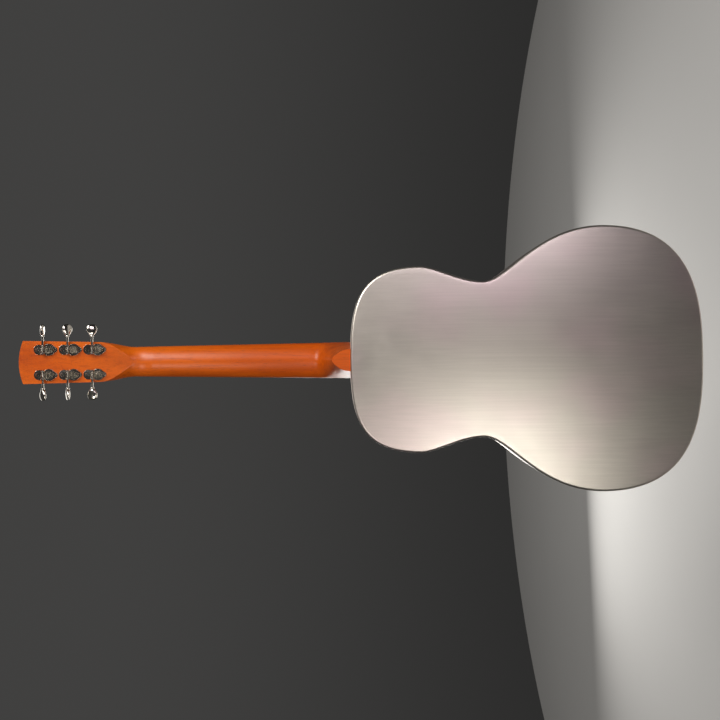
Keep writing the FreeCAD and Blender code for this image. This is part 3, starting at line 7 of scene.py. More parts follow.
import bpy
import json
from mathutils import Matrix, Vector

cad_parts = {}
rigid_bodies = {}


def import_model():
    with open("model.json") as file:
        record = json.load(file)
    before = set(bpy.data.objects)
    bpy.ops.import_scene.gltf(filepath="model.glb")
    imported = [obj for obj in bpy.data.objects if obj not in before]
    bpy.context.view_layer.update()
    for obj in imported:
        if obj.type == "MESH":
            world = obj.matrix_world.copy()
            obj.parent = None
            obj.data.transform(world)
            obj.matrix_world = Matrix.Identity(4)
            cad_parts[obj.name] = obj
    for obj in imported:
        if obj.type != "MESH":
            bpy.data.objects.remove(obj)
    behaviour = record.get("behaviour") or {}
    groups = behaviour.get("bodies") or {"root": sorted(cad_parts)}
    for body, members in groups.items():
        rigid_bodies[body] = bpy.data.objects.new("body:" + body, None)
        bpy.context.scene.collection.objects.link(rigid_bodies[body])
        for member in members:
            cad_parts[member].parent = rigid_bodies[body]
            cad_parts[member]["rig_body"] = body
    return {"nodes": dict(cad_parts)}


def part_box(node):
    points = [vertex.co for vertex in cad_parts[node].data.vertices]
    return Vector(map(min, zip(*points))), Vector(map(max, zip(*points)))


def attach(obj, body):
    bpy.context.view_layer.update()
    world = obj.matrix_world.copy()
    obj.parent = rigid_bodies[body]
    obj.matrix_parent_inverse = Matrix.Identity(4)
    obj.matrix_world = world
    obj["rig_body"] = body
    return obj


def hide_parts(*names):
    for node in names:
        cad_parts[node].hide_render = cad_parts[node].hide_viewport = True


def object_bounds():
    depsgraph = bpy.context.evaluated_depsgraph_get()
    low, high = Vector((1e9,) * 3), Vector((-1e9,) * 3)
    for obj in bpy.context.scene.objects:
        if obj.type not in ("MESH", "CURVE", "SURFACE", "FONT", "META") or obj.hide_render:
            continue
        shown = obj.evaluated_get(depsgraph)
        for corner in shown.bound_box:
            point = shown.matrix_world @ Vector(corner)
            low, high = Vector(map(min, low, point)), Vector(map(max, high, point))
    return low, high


bl_info = {
    "name": "Resonator Guitar",
    "version": (1, 0, 0),
    "blender": (4, 5, 0),
    "location": "View3D > Sidebar > Guitar",
    "description": "Builds the surfaces and finishes of a metal-bodied resonator guitar",
    "category": "Object",
}

import json
import math

import bmesh
import bpy
import numpy as np
from bpy.props import FloatProperty, FloatVectorProperty, PointerProperty
from mathutils import Matrix, Vector

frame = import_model()
cad_box = [list(corner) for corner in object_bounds()]

MM = 0.001
BODY_LOW, BODY_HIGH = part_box("body_back")
SHELL_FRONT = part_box("body_top")[0].y
TAIL_Z, JOINT_Z = BODY_LOW.z, BODY_HIGH.z
BODY_LONG = JOINT_Z - TAIL_Z


def length(label, about, default, **limits):
    """A size the maker may change, shown in the scene's units."""
    return FloatProperty(name=label, description=about, default=default, unit="LENGTH", **limits)


def colour(label, about, default):
    """A finish's colour, in linear light."""
    return FloatVectorProperty(
        name=label, description=about, default=default, size=3, subtype="COLOR", min=0, max=1
    )


class BodySizes(bpy.types.PropertyGroup):
    """The metal body's outline and back."""

    upper_bout: length("Upper bout", "Greatest width near the neck", 0.264)
    waist: length("Waist", "Narrowest width", 0.220)
    lower_bout: length("Lower bout", "Greatest width near the tail", 0.3766)
    upper_at: length("Upper bout from neck", "Distance down to the upper bout", 0.100)
    waist_at: length("Waist from neck", "Distance down to the waist", 0.1875)
    lower_up: length("Lower bout from tail", "Distance up to the lower bout", 0.1404)
    seam_skirt: length("Skirt", "How far back and top wrap over the sides", 0.008)
    rim_half: length("Half depth", "From the middle of the sides to a rim", 0.040)
    back_radius: length("Back radius", "Radius of the arched back", 3.6)
    edge_radius: length("Edge radius", "Rounding of the rims", 0.004)
    sheet: length("Sheet", "Thickness of the metal", 0.001)


class NeckSizes(bpy.types.PropertyGroup):
    """The neck's taper, its heel and its head."""

    scale: length("String scale", "Nut to saddle", 0.635)
    nut_half: length("Half nut", "Half the width at the nut", 0.02225)
    heel_half: length("Half heel", "Half the width at the body", 0.02725)
    nut_thick: length("Nut", "The nut's thickness along the strings", 0.005)
    lean: FloatProperty(
        name="Neck angle", description="How far the neck leans back",
        default=math.radians(2.2), subtype="ANGLE",
    )
    head_lean: FloatProperty(
        name="Head angle", description="How far the head leans back from the neck",
        default=math.radians(13.0), subtype="ANGLE",
    )
    depth_nut: length("Depth at nut", "Wood behind the fingerboard at the nut", 0.0155)
    depth_heel: length("Depth at heel", "Wood behind the fingerboard at the body", 0.018)
    heel_reach: length("Heel reach", "How far up the neck the heel begins", 0.060)
    heel_keel: length("Heel keel", "Depth the heel's keel runs on to behind its cap", 0.188)
    heel_setback: length("Cap setback", "How far the cap stands in from the back rim", 0.002)
    head_long: length("Head length", "Nut to tip", 0.1602)
    head_thick: length("Head thickness", "Thickness of the head's wood", 0.015)
    head_half: length("Half head", "Half the head's width past its shoulders", 0.02925)
    tip_half: length("Half tip", "Half the head's width at its tip", 0.03075)
    shoulder: length("Shoulder", "Nut to full head width", 0.052)
    tip_bow: length("Tip bow", "How far the tip's middle stands out", 0.0055)
    overlay: length("Veneer", "Thickness of the veneer on the head", 0.002)


class HardwareSizes(bpy.types.PropertyGroup):
    """Tuners and strings."""

    first_post: length("First post", "Nut to the nearest posts", 0.053)
    post_pitch: length("Post pitch", "Spacing of posts along the head", 0.03355)
    post_half: length("Half spacing", "Centre line to a post", 0.0182)
    post_radius: length("Post", "Radius of a string post", 0.003)
    string_up: length("String height", "Where strings meet the posts, above the veneer", 0.007)
    worm_offset: length("Worm offset", "Post to worm, along the head", 0.0077)
    worm_height: length("Worm height", "Back of the head to the worm's axis", 0.0044)
    button_start: length("Button start", "Centre line to the root of a button", 0.037)
    button_long: length("Button length", "Root to tip", 0.018)
    button_half: length("Half button", "Half its width", 0.0075)
    button_thick: length("Half thickness", "Half its thickness", 0.0033)
    nut_spread: length("Spread at nut", "First string to sixth at the nut", 0.0365)
    saddle_spread: length("Spread at saddle", "First string to sixth at the saddle", 0.054)
    lip_up: length("Tailpiece reach", "Tail to the tailpiece's lip", 0.100)
    lip_out: length("Tailpiece height", "Top plate to the tailpiece's face", 0.0145)


class Finishes(bpy.types.PropertyGroup):
    """Colours of the metals and woods."""

    body_metal: colour("Body metal", "Brushed nickel of the body", (0.62, 0.575, 0.51))
    body_blush: colour("Body blush", "Slightly pinker clouds in the nickel", (0.66, 0.56, 0.53))
    nickel: colour("Nickel", "Polished plate of the hardware", (0.66, 0.62, 0.55))
    mahogany: colour("Mahogany", "Stained wood of the neck", (0.60, 0.095, 0.003))
    mahogany_dark: colour("Mahogany grain", "Darker figure in the wood", (0.30, 0.034, 0.002))
    rosewood: colour("Fingerboard", "Oiled dark wood", (0.060, 0.028, 0.016))
    bronze: colour("Bronze", "Winding wire of the low strings", (0.56, 0.33, 0.14))


class StageLook(bpy.types.PropertyGroup):
    """Floor, light and camera."""

    floor_drop: length("Floor drop", "How far under the object the floor lies", 0.42)
    floor_radius: length("Floor radius", "Radius of the floor", 2.1)
    floor_reach: length("Floor reach", "How far it comes out behind the object", 0.35)
    floor_colour: colour("Floor", "Plain pale floor", (0.72, 0.71, 0.69))
    room_light: FloatProperty(name="Room light", description="Soft light all round", default=0.042)
    key_watts: FloatProperty(name="Key", description="Warm light low on one side", default=4.5)
    fill_watts: FloatProperty(name="Fill", description="Pinker light on the other", default=3.1)
    strip_watts: FloatProperty(name="Strip", description="Long light beside the neck", default=23.0)
    camera_away: length("Camera distance", "Camera to the body's back rim", 1.10)
    camera_wide: length("Camera width", "Width seen at the back rim", 1.017)
    camera_down: length("Camera centre", "Neck joint down to the picture's middle", 0.014)
    camera_roll: FloatProperty(
        name="Camera roll", description="Tilt of the camera about its view",
        default=math.radians(0.44), subtype="ANGLE",
    )


def sizes():
    """The four groups of sizes and colours held by the scene."""
    scene = bpy.context.scene
    return scene.guitar_body, scene.guitar_neck, scene.guitar_hardware, scene.guitar_finishes


# ------------------------------------------------------------------ shader maths


class Signal:
    """A number that varies over a surface: arithmetic on it adds Math nodes."""

    def __init__(self, finish, socket):
        self.finish = finish
        self.socket = socket

    def math(self, operation, *others):
        inputs = {i: value for i, value in enumerate((self, *others))}
        node = self.finish.node("ShaderNodeMath", {"operation": operation}, inputs)
        return Signal(self.finish, node.outputs[0])

    def swapped(self, operation, other):
        inputs = {0: other, 1: self}
        node = self.finish.node("ShaderNodeMath", {"operation": operation}, inputs)
        return Signal(self.finish, node.outputs[0])

    def __add__(self, other):
        return self.math("ADD", other)

    def __sub__(self, other):
        return self.math("SUBTRACT", other)

    def __rsub__(self, other):
        return self.swapped("SUBTRACT", other)

    def __mul__(self, other):
        return self.math("MULTIPLY", other)

    def __truediv__(self, other):
        return self.math("DIVIDE", other)

    def __pow__(self, other):
        return self.math("POWER", other)

    __radd__ = __add__
    __rmul__ = __mul__


class Finish:
    """A material under construction: a Principled shader and the nodes that feed it."""

    def __init__(self, name, **surface):
        self.material = bpy.data.materials.new(name)
        self.material.use_nodes = True
        self.tree = self.material.node_tree
        self.tree.nodes.clear()
        self.shader = self.node("ShaderNodeBsdfPrincipled")
        output = self.node("ShaderNodeOutputMaterial")
        self.tree.links.new(self.shader.outputs[0], output.inputs[0])
        for label, value in surface.items():
            self.surface(label.replace("_", " ").title().replace("Ior", "IOR"), value)

    def node(self, kind, settings=None, inputs=None):
        """One node: its settings first, then values or links for its sockets."""
        node = self.tree.nodes.new(kind)
        for label, value in (settings or {}).items():
            setattr(node, label, value)
        for label, value in (inputs or {}).items():
            self.feed(node.inputs[label], value)
        return node

    def feed(self, socket, value):
        if isinstance(value, Signal):
            self.tree.links.new(value.socket, socket)
        elif isinstance(value, bpy.types.NodeSocket):
            self.tree.links.new(value, socket)
        elif hasattr(value, "__len__") and len(value) == 3 and socket.type == "RGBA":
            socket.default_value = (*value, 1.0)
        else:
            socket.default_value = value

    def surface(self, label, value):
        self.feed(self.shader.inputs[label], value)

    def place(self, scale=(1, 1, 1), shift=(0, 0, 0), source="Object"):
        """Coordinates on the piece, stretched and centred for one pattern."""
        coords = self.node("ShaderNodeTexCoord")
        inputs = {"Vector": coords.outputs[source], "Location": shift, "Scale": scale}
        return self.node("ShaderNodeMapping", None, inputs).outputs[0]

    def noise(self, where, scale, detail=3.0, rough=0.5, distort=0.0):
        inputs = {"Vector": where, "Scale": scale, "Detail": detail}
        inputs.update({"Roughness": rough, "Distortion": distort})
        return Signal(self, self.node("ShaderNodeTexNoise", None, inputs).outputs[0])

    def part(self, where, axis):
        """One coordinate of a vector."""
        return Signal(self, self.node("ShaderNodeSeparateXYZ", None, {0: where}).outputs[axis])

    def spread(self, value, low, high, out_low=0.0, out_high=1.0):
        """Stretches a signal's range from low..high to the new limits, smoothly at both ends."""
        settings = {"interpolation_type": "SMOOTHSTEP"}
        inputs = {0: value, 1: low, 2: high, 3: out_low, 4: out_high}
        return Signal(self, self.node("ShaderNodeMapRange", settings, inputs).outputs[0])

    def mix(self, share, first, second):
        """The first colour, turning into the second as the share rises."""
        settings = {"data_type": "RGBA", "blend_type": "MIX"}
        return self.node("ShaderNodeMix", settings, {0: share, 6: first, 7: second}).outputs[2]

    def relief(self, height, distance, strength=1.0, under=None):
        """Adds a bump of the given depth, on top of another one if it is given."""
        inputs = {"Height": height, "Distance": distance, "Strength": strength}
        if under is not None:
            inputs["Normal"] = under
        return self.node("ShaderNodeBump", None, inputs).outputs[0]


# ------------------------------------------------------------------ finishes


def brushed_nickel(name):
    """Nickel brushed along the body: fine scratches, long in Z and hair-thin across, over faint
    clouds of a pinker tone."""
    tones = sizes()[3]
    f = Finish(name, metallic=1.0)
    clouds = f.noise(f.place((1, 1, 0.8)), 7.0, 2.0)
    tint = f.mix(f.spread(clouds, 0.38, 0.62), tones.body_metal, tones.body_blush)
    hairs = f.noise(f.place((1, 1, 0.006)), 2600.0, 2.0)
    strokes = f.noise(f.place((1, 1, 0.012)), 420.0, 3.0)
    worn = f.noise(f.place(), 34.0, 4.0)
    tint = f.mix(f.spread(strokes, 0.3, 0.7, 0.0, 0.16), tint, (0.40, 0.37, 0.33))
    f.surface("Base Color", tint)
    f.surface("Roughness", 0.27 + hairs * 0.12 + worn * 0.06)
    fine = f.relief(hairs, 0.00004, 0.75)
    f.surface("Normal", f.relief(strokes, 0.00003, 0.55, fine))
    return f.material


def polished_nickel(name, rough=0.12, tint=None):
    """Plated hardware: mirror-like with faint smudges and a few fine scratches."""
    tones = sizes()[3]
    f = Finish(name, metallic=1.0)
    smudge = f.noise(f.place(), 90.0, 4.0)
    scratch = f.noise(f.place((1, 1, 0.05)), 1500.0, 2.0)
    shade = tint or tuple(tones.nickel)
    dull = tuple(c * 0.72 for c in shade)
    f.surface("Base Color", f.mix(f.spread(smudge, 0.45, 0.75, 0.0, 0.5), shade, dull))
    f.surface("Roughness", rough + f.spread(smudge, 0.4, 0.7, 0.0, 0.10))
    f.surface("Normal", f.relief(scratch, 0.00002, 0.25))
    return f.material


def mahogany(name):
    """Satin-stained mahogany: ribbons of lighter and darker figure along the grain, short dark
    pores, and a thin clear coat."""
    tones = sizes()[3]
    f = Finish(name, specular_ior_level=0.3, coat_weight=0.14, coat_roughness=0.28)
    wander = f.noise(f.place((1, 1, 0.15)), 16.0, 3.0)
    figure = f.noise(f.place((1, 1, 0.03)), 260.0, 4.0, 0.6, 0.6)
    ribbons = f.noise(f.place((1, 1, 0.10)), 55.0, 2.0)
    pores = f.noise(f.place((1, 1, 0.035)), 1900.0, 2.0)
    slots = f.spread(pores, 0.60, 0.70)
    bright = tuple(min(1.0, c * k) for c, k in zip(tones.mahogany, (1.15, 1.35, 1.4)))
    shade = f.mix(f.spread(wander, 0.35, 0.65), tones.mahogany, bright)
    shade = f.mix(f.spread(ribbons, 0.42, 0.72, 0.0, 0.4), shade, tones.mahogany_dark)
    shade = f.mix(f.spread(figure, 0.45, 0.75, 0.0, 0.42), shade, tones.mahogany_dark)
    shade = f.mix(slots * 0.55, shade, (0.11, 0.022, 0.006))
    f.surface("Base Color", shade)
    f.surface("Roughness", 0.31 + figure * 0.08 + slots * 0.15)
    relief = f.relief(1 - slots, 0.00006, 0.5)
    f.surface("Normal", f.relief(figure, 0.00003, 0.4, relief))
    return f.material


def oiled_wood(name, tint, pore_depth=0.00008, rough=0.46):
    """Dark open-pored wood, oiled: long streaks and drawn-out pores."""
    f = Finish(name, specular_ior_level=0.4)
    streak = f.noise(f.place((1, 1, 0.025)), 330.0, 4.0, 0.6, 0.4)
    pores = f.spread(f.noise(f.place((1, 1, 0.03)), 1500.0, 2.0), 0.58, 0.68)
    light = tuple(min(1.0, c * 2.3) for c in tint)
    shade = f.mix(f.spread(streak, 0.4, 0.7), tint, light)
    f.surface("Base Color", f.mix(pores * 0.7, shade, tuple(c * 0.25 for c in tint)))
    f.surface("Roughness", rough + pores * 0.2)
    f.surface("Normal", f.relief(1 - pores, pore_depth, 0.6))
    return f.material


def spun_aluminium(name, centre):
    """A spun cone: fine turning rings about the bridge, in thin matt aluminium."""
    f = Finish(name, metallic=1.0)
    where = f.place((1, 0, 1), tuple(-c for c in centre))
    reach = f.node("ShaderNodeVectorMath", {"operation": "LENGTH"}, {0: where})
    radius = Signal(f, reach.outputs[1])
    rings = (radius * 9000.0).math("SINE")
    blotch = f.noise(f.place(), 60.0, 3.0)
    f.surface("Base Color", f.mix(blotch * 0.5, (0.74, 0.74, 0.73), (0.55, 0.55, 0.55)))
    f.surface("Roughness", 0.30 + blotch * 0.12)
    f.surface("Normal", f.relief(rings, 0.00002, 0.5))
    return f.material


def wound_wire(name, tint, pitch):
    """Winding wire round a string's core: rounded ridges along the string's own length, with
    painted shade darkening the grooves between them.
    """
    f = Finish(name, metallic=1.0)
    along = f.part(f.place(source="UV"), 1)
    ridge = (along * (2 * math.pi / pitch)).math("SINE")
    # The base colour is painted shade in the grooves between the ridges, darkest at their bottoms
    # and full tint on the crests.
    f.surface("Base Color", f.mix(f.spread(ridge, -1.0, 0.2), tuple(c * 0.45 for c in tint), tint))
    f.surface("Roughness", 0.30 - ridge * 0.06)
    f.surface("Normal", f.relief(ridge, pitch * 0.35, 0.8))
    return f.material


def plain_wire(name):
    """Bright plain steel wire."""
    f = Finish(name, metallic=1.0)
    haze = f.noise(f.place((1, 1, 0.1)), 700.0, 2.0)
    f.surface("Base Color", f.mix(haze, (0.72, 0.71, 0.69), (0.55, 0.54, 0.52)))
    f.surface("Roughness", 0.18 + haze * 0.1)
    return f.material


def polished_bone(name):
    """Creamy bone with soft mottling and light shining a little way in."""
    f = Finish(name, specular_ior_level=0.5, subsurface_weight=0.12, subsurface_scale=0.001)
    mottle = f.noise(f.place((1, 1, 0.6)), 240.0, 3.0)
    f.surface("Base Color", f.mix(mottle, (0.80, 0.74, 0.60), (0.66, 0.58, 0.43)))
    f.surface("Roughness", 0.25 + mottle * 0.1)
    return f.material


def pearl_dots(name):
    """Pearly inlay: pale, with cloudy sheets of light and shade."""
    f = Finish(name, coat_weight=0.6, coat_roughness=0.08)
    sheets = f.noise(f.place((1, 1, 0.5)), 420.0, 3.0, 0.5, 1.5)
    dim, bright = (0.62, 0.64, 0.62), (0.86, 0.85, 0.82)
    f.surface("Base Color", f.mix(f.spread(sheets, 0.4, 0.6), dim, bright))
    f.surface("Roughness", 0.22 + sheets * 0.1)
    return f.material


def black_gloss(name):
    """Moulded black plastic with a few light marks."""
    f = Finish(name, specular_ior_level=0.5)
    marks = f.noise(f.place(), 500.0, 3.0)
    f.surface("Base Color", f.mix(marks, (0.010, 0.010, 0.011), (0.022, 0.021, 0.021)))
    f.surface("Roughness", 0.14 + marks * 0.12)
    return f.material


def pale_floor(name, tint):
    """A plain matt floor with barely visible mottling."""
    f = Finish(name, specular_ior_level=0.2)
    mottle = f.noise(f.place(), 3.0, 4.0)
    f.surface("Base Color", f.mix(mottle * 0.5, tint, tuple(c * 0.93 for c in tint)))
    f.surface("Roughness", 0.8 + mottle * 0.1)
    return f.material


# ------------------------------------------------------------------ surfaces and pieces


def grid_faces(rows, columns, start):
    """Quads between neighbouring rows and columns of a grid of points."""
    corner = np.arange(rows * columns).reshape(rows, columns) + start
    a, b = corner[:-1, :-1].ravel(), corner[:-1, 1:].ravel()
    c, d = corner[1:, 1:].ravel(), corner[1:, :-1].ravel()
    return np.stack([a, b, c, d], axis=1)


def surface_piece(name, patches, merge=2e-6, sharp=math.radians(32), recalculate=True):
    """One mesh from several grids of points, each (rows, columns, 3) or with its own
    (u, v) per point. Shared edges are merged, so the patches become one skin."""
    points, quads, maps, start = [], [], [], 0
    for patch in patches:
        grid, uv = patch if isinstance(patch, tuple) else (patch, None)
        rows, columns = grid.shape[:2]
        points.append(grid.reshape(-1, 3))
        quads.append(grid_faces(rows, columns, start))
        maps.append(np.zeros((rows * columns, 2)) if uv is None else uv.reshape(-1, 2))
        start += rows * columns
    points, quads, maps = np.concatenate(points), np.concatenate(quads), np.concatenate(maps)
    mesh = bpy.data.meshes.new(name)
    mesh.from_pydata(points, [], quads)
    layer = mesh.uv_layers.new(name="UVMap")
    layer.data.foreach_set("uv", maps[quads.ravel()].astype(np.float32).ravel())
    tidy_mesh(mesh, merge, recalculate)
    shade(mesh, sharp)
    return add_object(name, mesh)


def tidy_mesh(mesh, merge, recalculate):
    """Merges doubled points, drops collapsed faces and turns all faces outwards."""
    work = bmesh.new()
    work.from_mesh(mesh)
    bmesh.ops.remove_doubles(work, verts=work.verts, dist=merge)
    bmesh.ops.dissolve_degenerate(work, edges=work.edges, dist=1e-7)
    if recalculate:
        bmesh.ops.recalc_face_normals(work, faces=work.faces)
    work.to_mesh(mesh)
    work.free()


def shade(mesh, sharp):
    """Smooth shading, broken at edges sharper than the angle."""
    mesh.polygons.foreach_set("use_smooth", np.ones(len(mesh.polygons), bool))
    mesh.set_sharp_from_angle(angle=sharp)


def add_object(name, mesh):
    piece = bpy.data.objects.new(name, mesh)
    bpy.context.scene.collection.objects.link(piece)
    return piece


def finish_piece(piece, body, slot, material, *nodes):
    """Gives a piece its material, the body it moves with and the model's parts it stands for."""
    piece.data.materials.clear()
    piece.data.materials.append(material)
    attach(piece, body)
    if nodes:
        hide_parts(*nodes)


def soften_edges(piece, width, segments=2, angle=math.radians(34)):
    """Rounds the sharp edges slightly, so that they catch the light."""
    bevel = piece.modifiers.new("soft_edges", "BEVEL")
    bevel.width = width
    bevel.segments = segments
    bevel.limit_method = "ANGLE"
    bevel.angle_limit = angle
    bevel.harden_normals = True


def refined(node, name, slot, material, bevel=0.0, sharp=math.radians(30), even=False):
    """A merged, smoothly shaded copy of one of the model's parts, with softened edges."""
    source = frame["nodes"][node]
    mesh = source.data.copy()
    mesh.name = name
    if "custom_normal" in mesh.attributes:
        mesh.attributes.remove(mesh.attributes["custom_normal"])
    tidy_mesh(mesh, 1e-6, False)
    shade(mesh, sharp)
    piece = add_object(name, mesh)
    if bevel:
        soften_edges(piece, bevel)
    if even:
        weigh = piece.modifiers.new("even_shading", "WEIGHTED_NORMAL")
        weigh.keep_sharp = True
    finish_piece(piece, source["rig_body"], slot, material, node)


def refine_all(slot, material, *parts):
    """Several parts in one finish, each a node, the new piece's name and its edge rounding."""
    for node, name, *rounding in parts:
        refined(node, name, slot, material, *rounding)


def turned_surface(profile, sides, transform=None):
    """A profile of (radius, height) points carried round the Z axis, then placed."""
    profile = np.asarray(profile, float)
    angle = np.linspace(0, 2 * np.pi, sides + 1)
    radius = profile[:, :1]
    grid = np.stack(
        [radius * np.cos(angle), radius * np.sin(angle), profile[:, 1:] + 0 * angle], axis=-1
    )
    return placed(grid, transform)


def placed(grid, transform):
    """Points carried by a 4x4 transform."""
    if transform is None:
        return grid
    return grid @ transform[:3, :3].T + transform[:3, 3]


def shift(x, y, z):
    matrix = np.eye(4)
    matrix[:3, 3] = (x, y, z)
    return matrix


def spin(angle, axis):
    """A turn by an angle in radians about X, Y or Z."""
    return np.array(Matrix.Rotation(angle, 4, axis))


def neck_frame():
    """Origin where the fingerboard's underside meets the body's top at the joint."""
    neck = sizes()[1]
    return shift(0, SHELL_FRONT, JOINT_Z) @ spin(-neck.lean, "X")


def head_frame():
    neck = sizes()[1]
    return neck_frame() @ shift(0, 0, neck.scale / 2 + neck.nut_thick) @ spin(-neck.head_lean, "X")


def smooth(value):
    """Eases from 0 to 1 with level ends: 3t^2 - 2t^3 on the clipped value."""
    t = np.clip(value, 0.0, 1.0)
    return t * t * (3 - 2 * t)


# ------------------------------------------------------------------ body


SHOULDER = (0.58, 0.093)
WAIST_ENTRY = (0.234, 0.358)
WAIST_EXIT = (0.211, 0.558)
TAIL = (0.98, 0.374)


def body_outline(count):
    """One side of the outline from neck to tail as evenly spaced (across, down) points: four
    cubic curves, each p0(1-t)^3 + 3p1 t(1-t)^2 + 3p2 t^2(1-t) + p3 t^3, resampled by length.
    The named pairs are the shares of each span that its two handles reach."""
    b = sizes()[0]
    upper, waist, lower = b.upper_bout / 2, b.waist / 2, b.lower_bout / 2
    hip = BODY_LONG - b.lower_up
    bout_gap, hip_gap = b.waist_at - b.upper_at, hip - b.waist_at
    spans = np.array([
        [(0, 0), (SHOULDER[0] * upper, 0), (upper, SHOULDER[1] * b.upper_at), (upper, b.upper_at)],
        [(upper, b.upper_at), (upper, b.upper_at + WAIST_ENTRY[0] * bout_gap),
         (waist, b.waist_at - WAIST_ENTRY[1] * bout_gap), (waist, b.waist_at)],
        [(waist, b.waist_at), (waist, b.waist_at + WAIST_EXIT[0] * hip_gap),
         (lower, hip - WAIST_EXIT[1] * hip_gap), (lower, hip)],
        [(lower, hip), (lower, hip + TAIL[0] * b.lower_up), (TAIL[1] * lower, BODY_LONG),
         (0, BODY_LONG)],
    ])
    t = np.linspace(0, 1, 400)[:, None]
    weights = [(1 - t) ** 3, 3 * t * (1 - t) ** 2, 3 * t**2 * (1 - t), t**3]
    curve = np.concatenate([sum(w * p for w, p in zip(weights, span)) for span in spans])
    steps = np.r_[0, np.cumsum(np.hypot(*np.diff(curve, axis=0).T))]
    even = np.linspace(0, steps[-1], count)
    return np.stack([np.interp(even, steps, curve[:, 0]), np.interp(even, steps, curve[:, 1])], 1)


def body_loop(count=300):
    """The whole outline as (x, z) points, first and last the same, and its inward normals."""
    side = body_outline(count)
    other = side[-2::-1] * (-1, 1)
    loop = np.concatenate([side, other])
    loop = np.stack([loop[:, 0], JOINT_Z - loop[:, 1]], 1)
    ahead = np.roll(loop[:-1], -1, axis=0) - np.roll(loop[:-1], 1, axis=0)
    ahead /= np.linalg.norm(ahead, axis=1)[:, None]
    inward = np.stack([ahead[:, 1], -ahead[:, 0]], 1)
    return loop, np.concatenate([inward, inward[:1]])


def dome(x, z):
    """The arched back's height: a large sphere that meets the rim's depth at both ends."""
    b = sizes()[0]
    half = BODY_LONG / 2
    drop = b.back_radius - math.sqrt(b.back_radius**2 - half**2)
    middle = TAIL_Z + half
    return b.rim_half + drop - b.back_radius + np.sqrt(
        b.back_radius**2 - x**2 - (z - middle) ** 2
    )


def ring(plan, height):
    """Points of the outline's plan lifted to a height."""
    return np.stack([plan[:, 0], np.broadcast_to(height, len(plan)), plan[:, 1]], 1)


def back_grid():
    """The back in one skin: a short skirt, a quarter-round rim, and the dome. Each inner row
    is the rim pulled towards a spine on the centre line, and rises to the sphere."""
    b = sizes()[0]
    loop, inward = body_loop()
    r = b.edge_radius
    inner = loop + inward * r
    crest = dome(inner[:, 0], inner[:, 1])
    skirt = b.rim_half - b.seam_skirt
    rows = [ring(loop, skirt)]
    for share in np.linspace(0, 1, 3)[1:]:
        rows.append(ring(loop, (1 - share) * skirt + share * (crest - r)))
    for turn in np.linspace(0, np.pi / 2, 9)[1:]:
        plan = loop + inward * r * (1 - math.cos(turn))
        rows.append(ring(plan, crest - r + r * math.sin(turn)))
    middle = TAIL_Z + BODY_LONG / 2
    spine = np.stack([0 * inner[:, 0], middle + (inner[:, 1] - middle) * 0.84], 1)
    for share in np.linspace(0, 1, 26)[1:]:
        plan = inner + (spine - inner) * share
        rows.append(ring(plan, dome(plan[:, 0], plan[:, 1])))
    return np.stack(rows)


def side_grid():
    """The band between the two skirts, in eight rows on the outline."""
    b = sizes()[0]
    loop, _inward = body_loop()
    edge = b.rim_half - b.seam_skirt
    return np.stack([ring(loop, y) for y in np.linspace(-edge, edge, 8)])


class GUITAR_OT_body(bpy.types.Operator):
    """Builds the metal body: arched back, sides and top"""

    bl_idname = "guitar.body"
    bl_label = "Metal body"

    def execute(self, context):
        metal = brushed_nickel("brushed_nickel")
        sheet = sizes()[0].sheet
        back = surface_piece("arched_back", [back_grid()], recalculate=False)
        sides = surface_piece("side_band", [side_grid()], recalculate=False)
        for piece, nodes in ((back, ["body_back"]), (sides, ["bass_side", "treble_side"])):
            face_outwards(piece.data)
            wall = piece.modifiers.new("sheet", "SOLIDIFY")
            wall.thickness = sheet
            wall.offset = -1
            finish_piece(piece, "guitar", "body_metal", metal, *nodes)
        refined("body_top", "top_plate", "body_metal", metal, even=True)
        return {"FINISHED"}


def face_outwards(mesh):
    """Turns an open skin's faces over if most of them look towards the body's middle."""
    count = len(mesh.polygons)
    centres, normals = np.empty(count * 3), np.empty(count * 3)
    mesh.polygons.foreach_get("center", centres)
    mesh.polygons.foreach_get("normal", normals)
    middle = np.array([0, 0, TAIL_Z + BODY_LONG / 2])
    outwards = (centres.reshape(-1, 3) - middle) * normals.reshape(-1, 3)
    if outwards.sum(axis=1).mean() < 0:
        mesh.flip_normals()


# ------------------------------------------------------------------ neck


def half_board(z):
    """Half the neck's width at a distance up from the joint: a straight taper."""
    neck = sizes()[1]
    return neck.heel_half + (neck.nut_half - neck.heel_half) * z / (neck.scale / 2)


def head_half_width(s):
    """Half the head's width at a distance from the nut: a cubic S, then a straight flare."""
    neck = sizes()[1]
    t = np.linspace(0, 1, 200)
    along = neck.shoulder * (3 * 0.35 * t * (1 - t) ** 2 + 3 * 0.55 * t**2 * (1 - t) + t**3)
    rise = 3 * t**2 * (1 - t) + t**3
    wide = neck.nut_half + (neck.head_half - neck.nut_half) * rise
    flare_end = neck.head_long - neck.tip_bow
    return np.interp(
        s, np.r_[0, along[1:], flare_end, neck.head_long],
        np.r_[neck.nut_half, wide[1:], neck.tip_half, neck.tip_half],
    )


def neck_stations():
    """Distances along the front line, closer together at the heel, the bend and the tip."""
    neck = sizes()[1]
    nut = neck.scale / 2 + neck.nut_thick
    tip = nut + neck.head_long
    return np.unique(np.concatenate([
        np.linspace(-0.003, 0, 2),
        np.linspace(0, heel_cap_end(), 24),
        np.linspace(heel_cap_end(), neck.heel_reach * 1.15, 30),
        np.linspace(neck.heel_reach * 1.15, nut - 0.03, 80),
        np.linspace(nut - 0.03, nut, 24),
        np.linspace(nut, nut + neck.shoulder * 1.1, 56),
        np.linspace(nut + neck.shoulder * 1.1, tip, 40),
    ]).round(7))


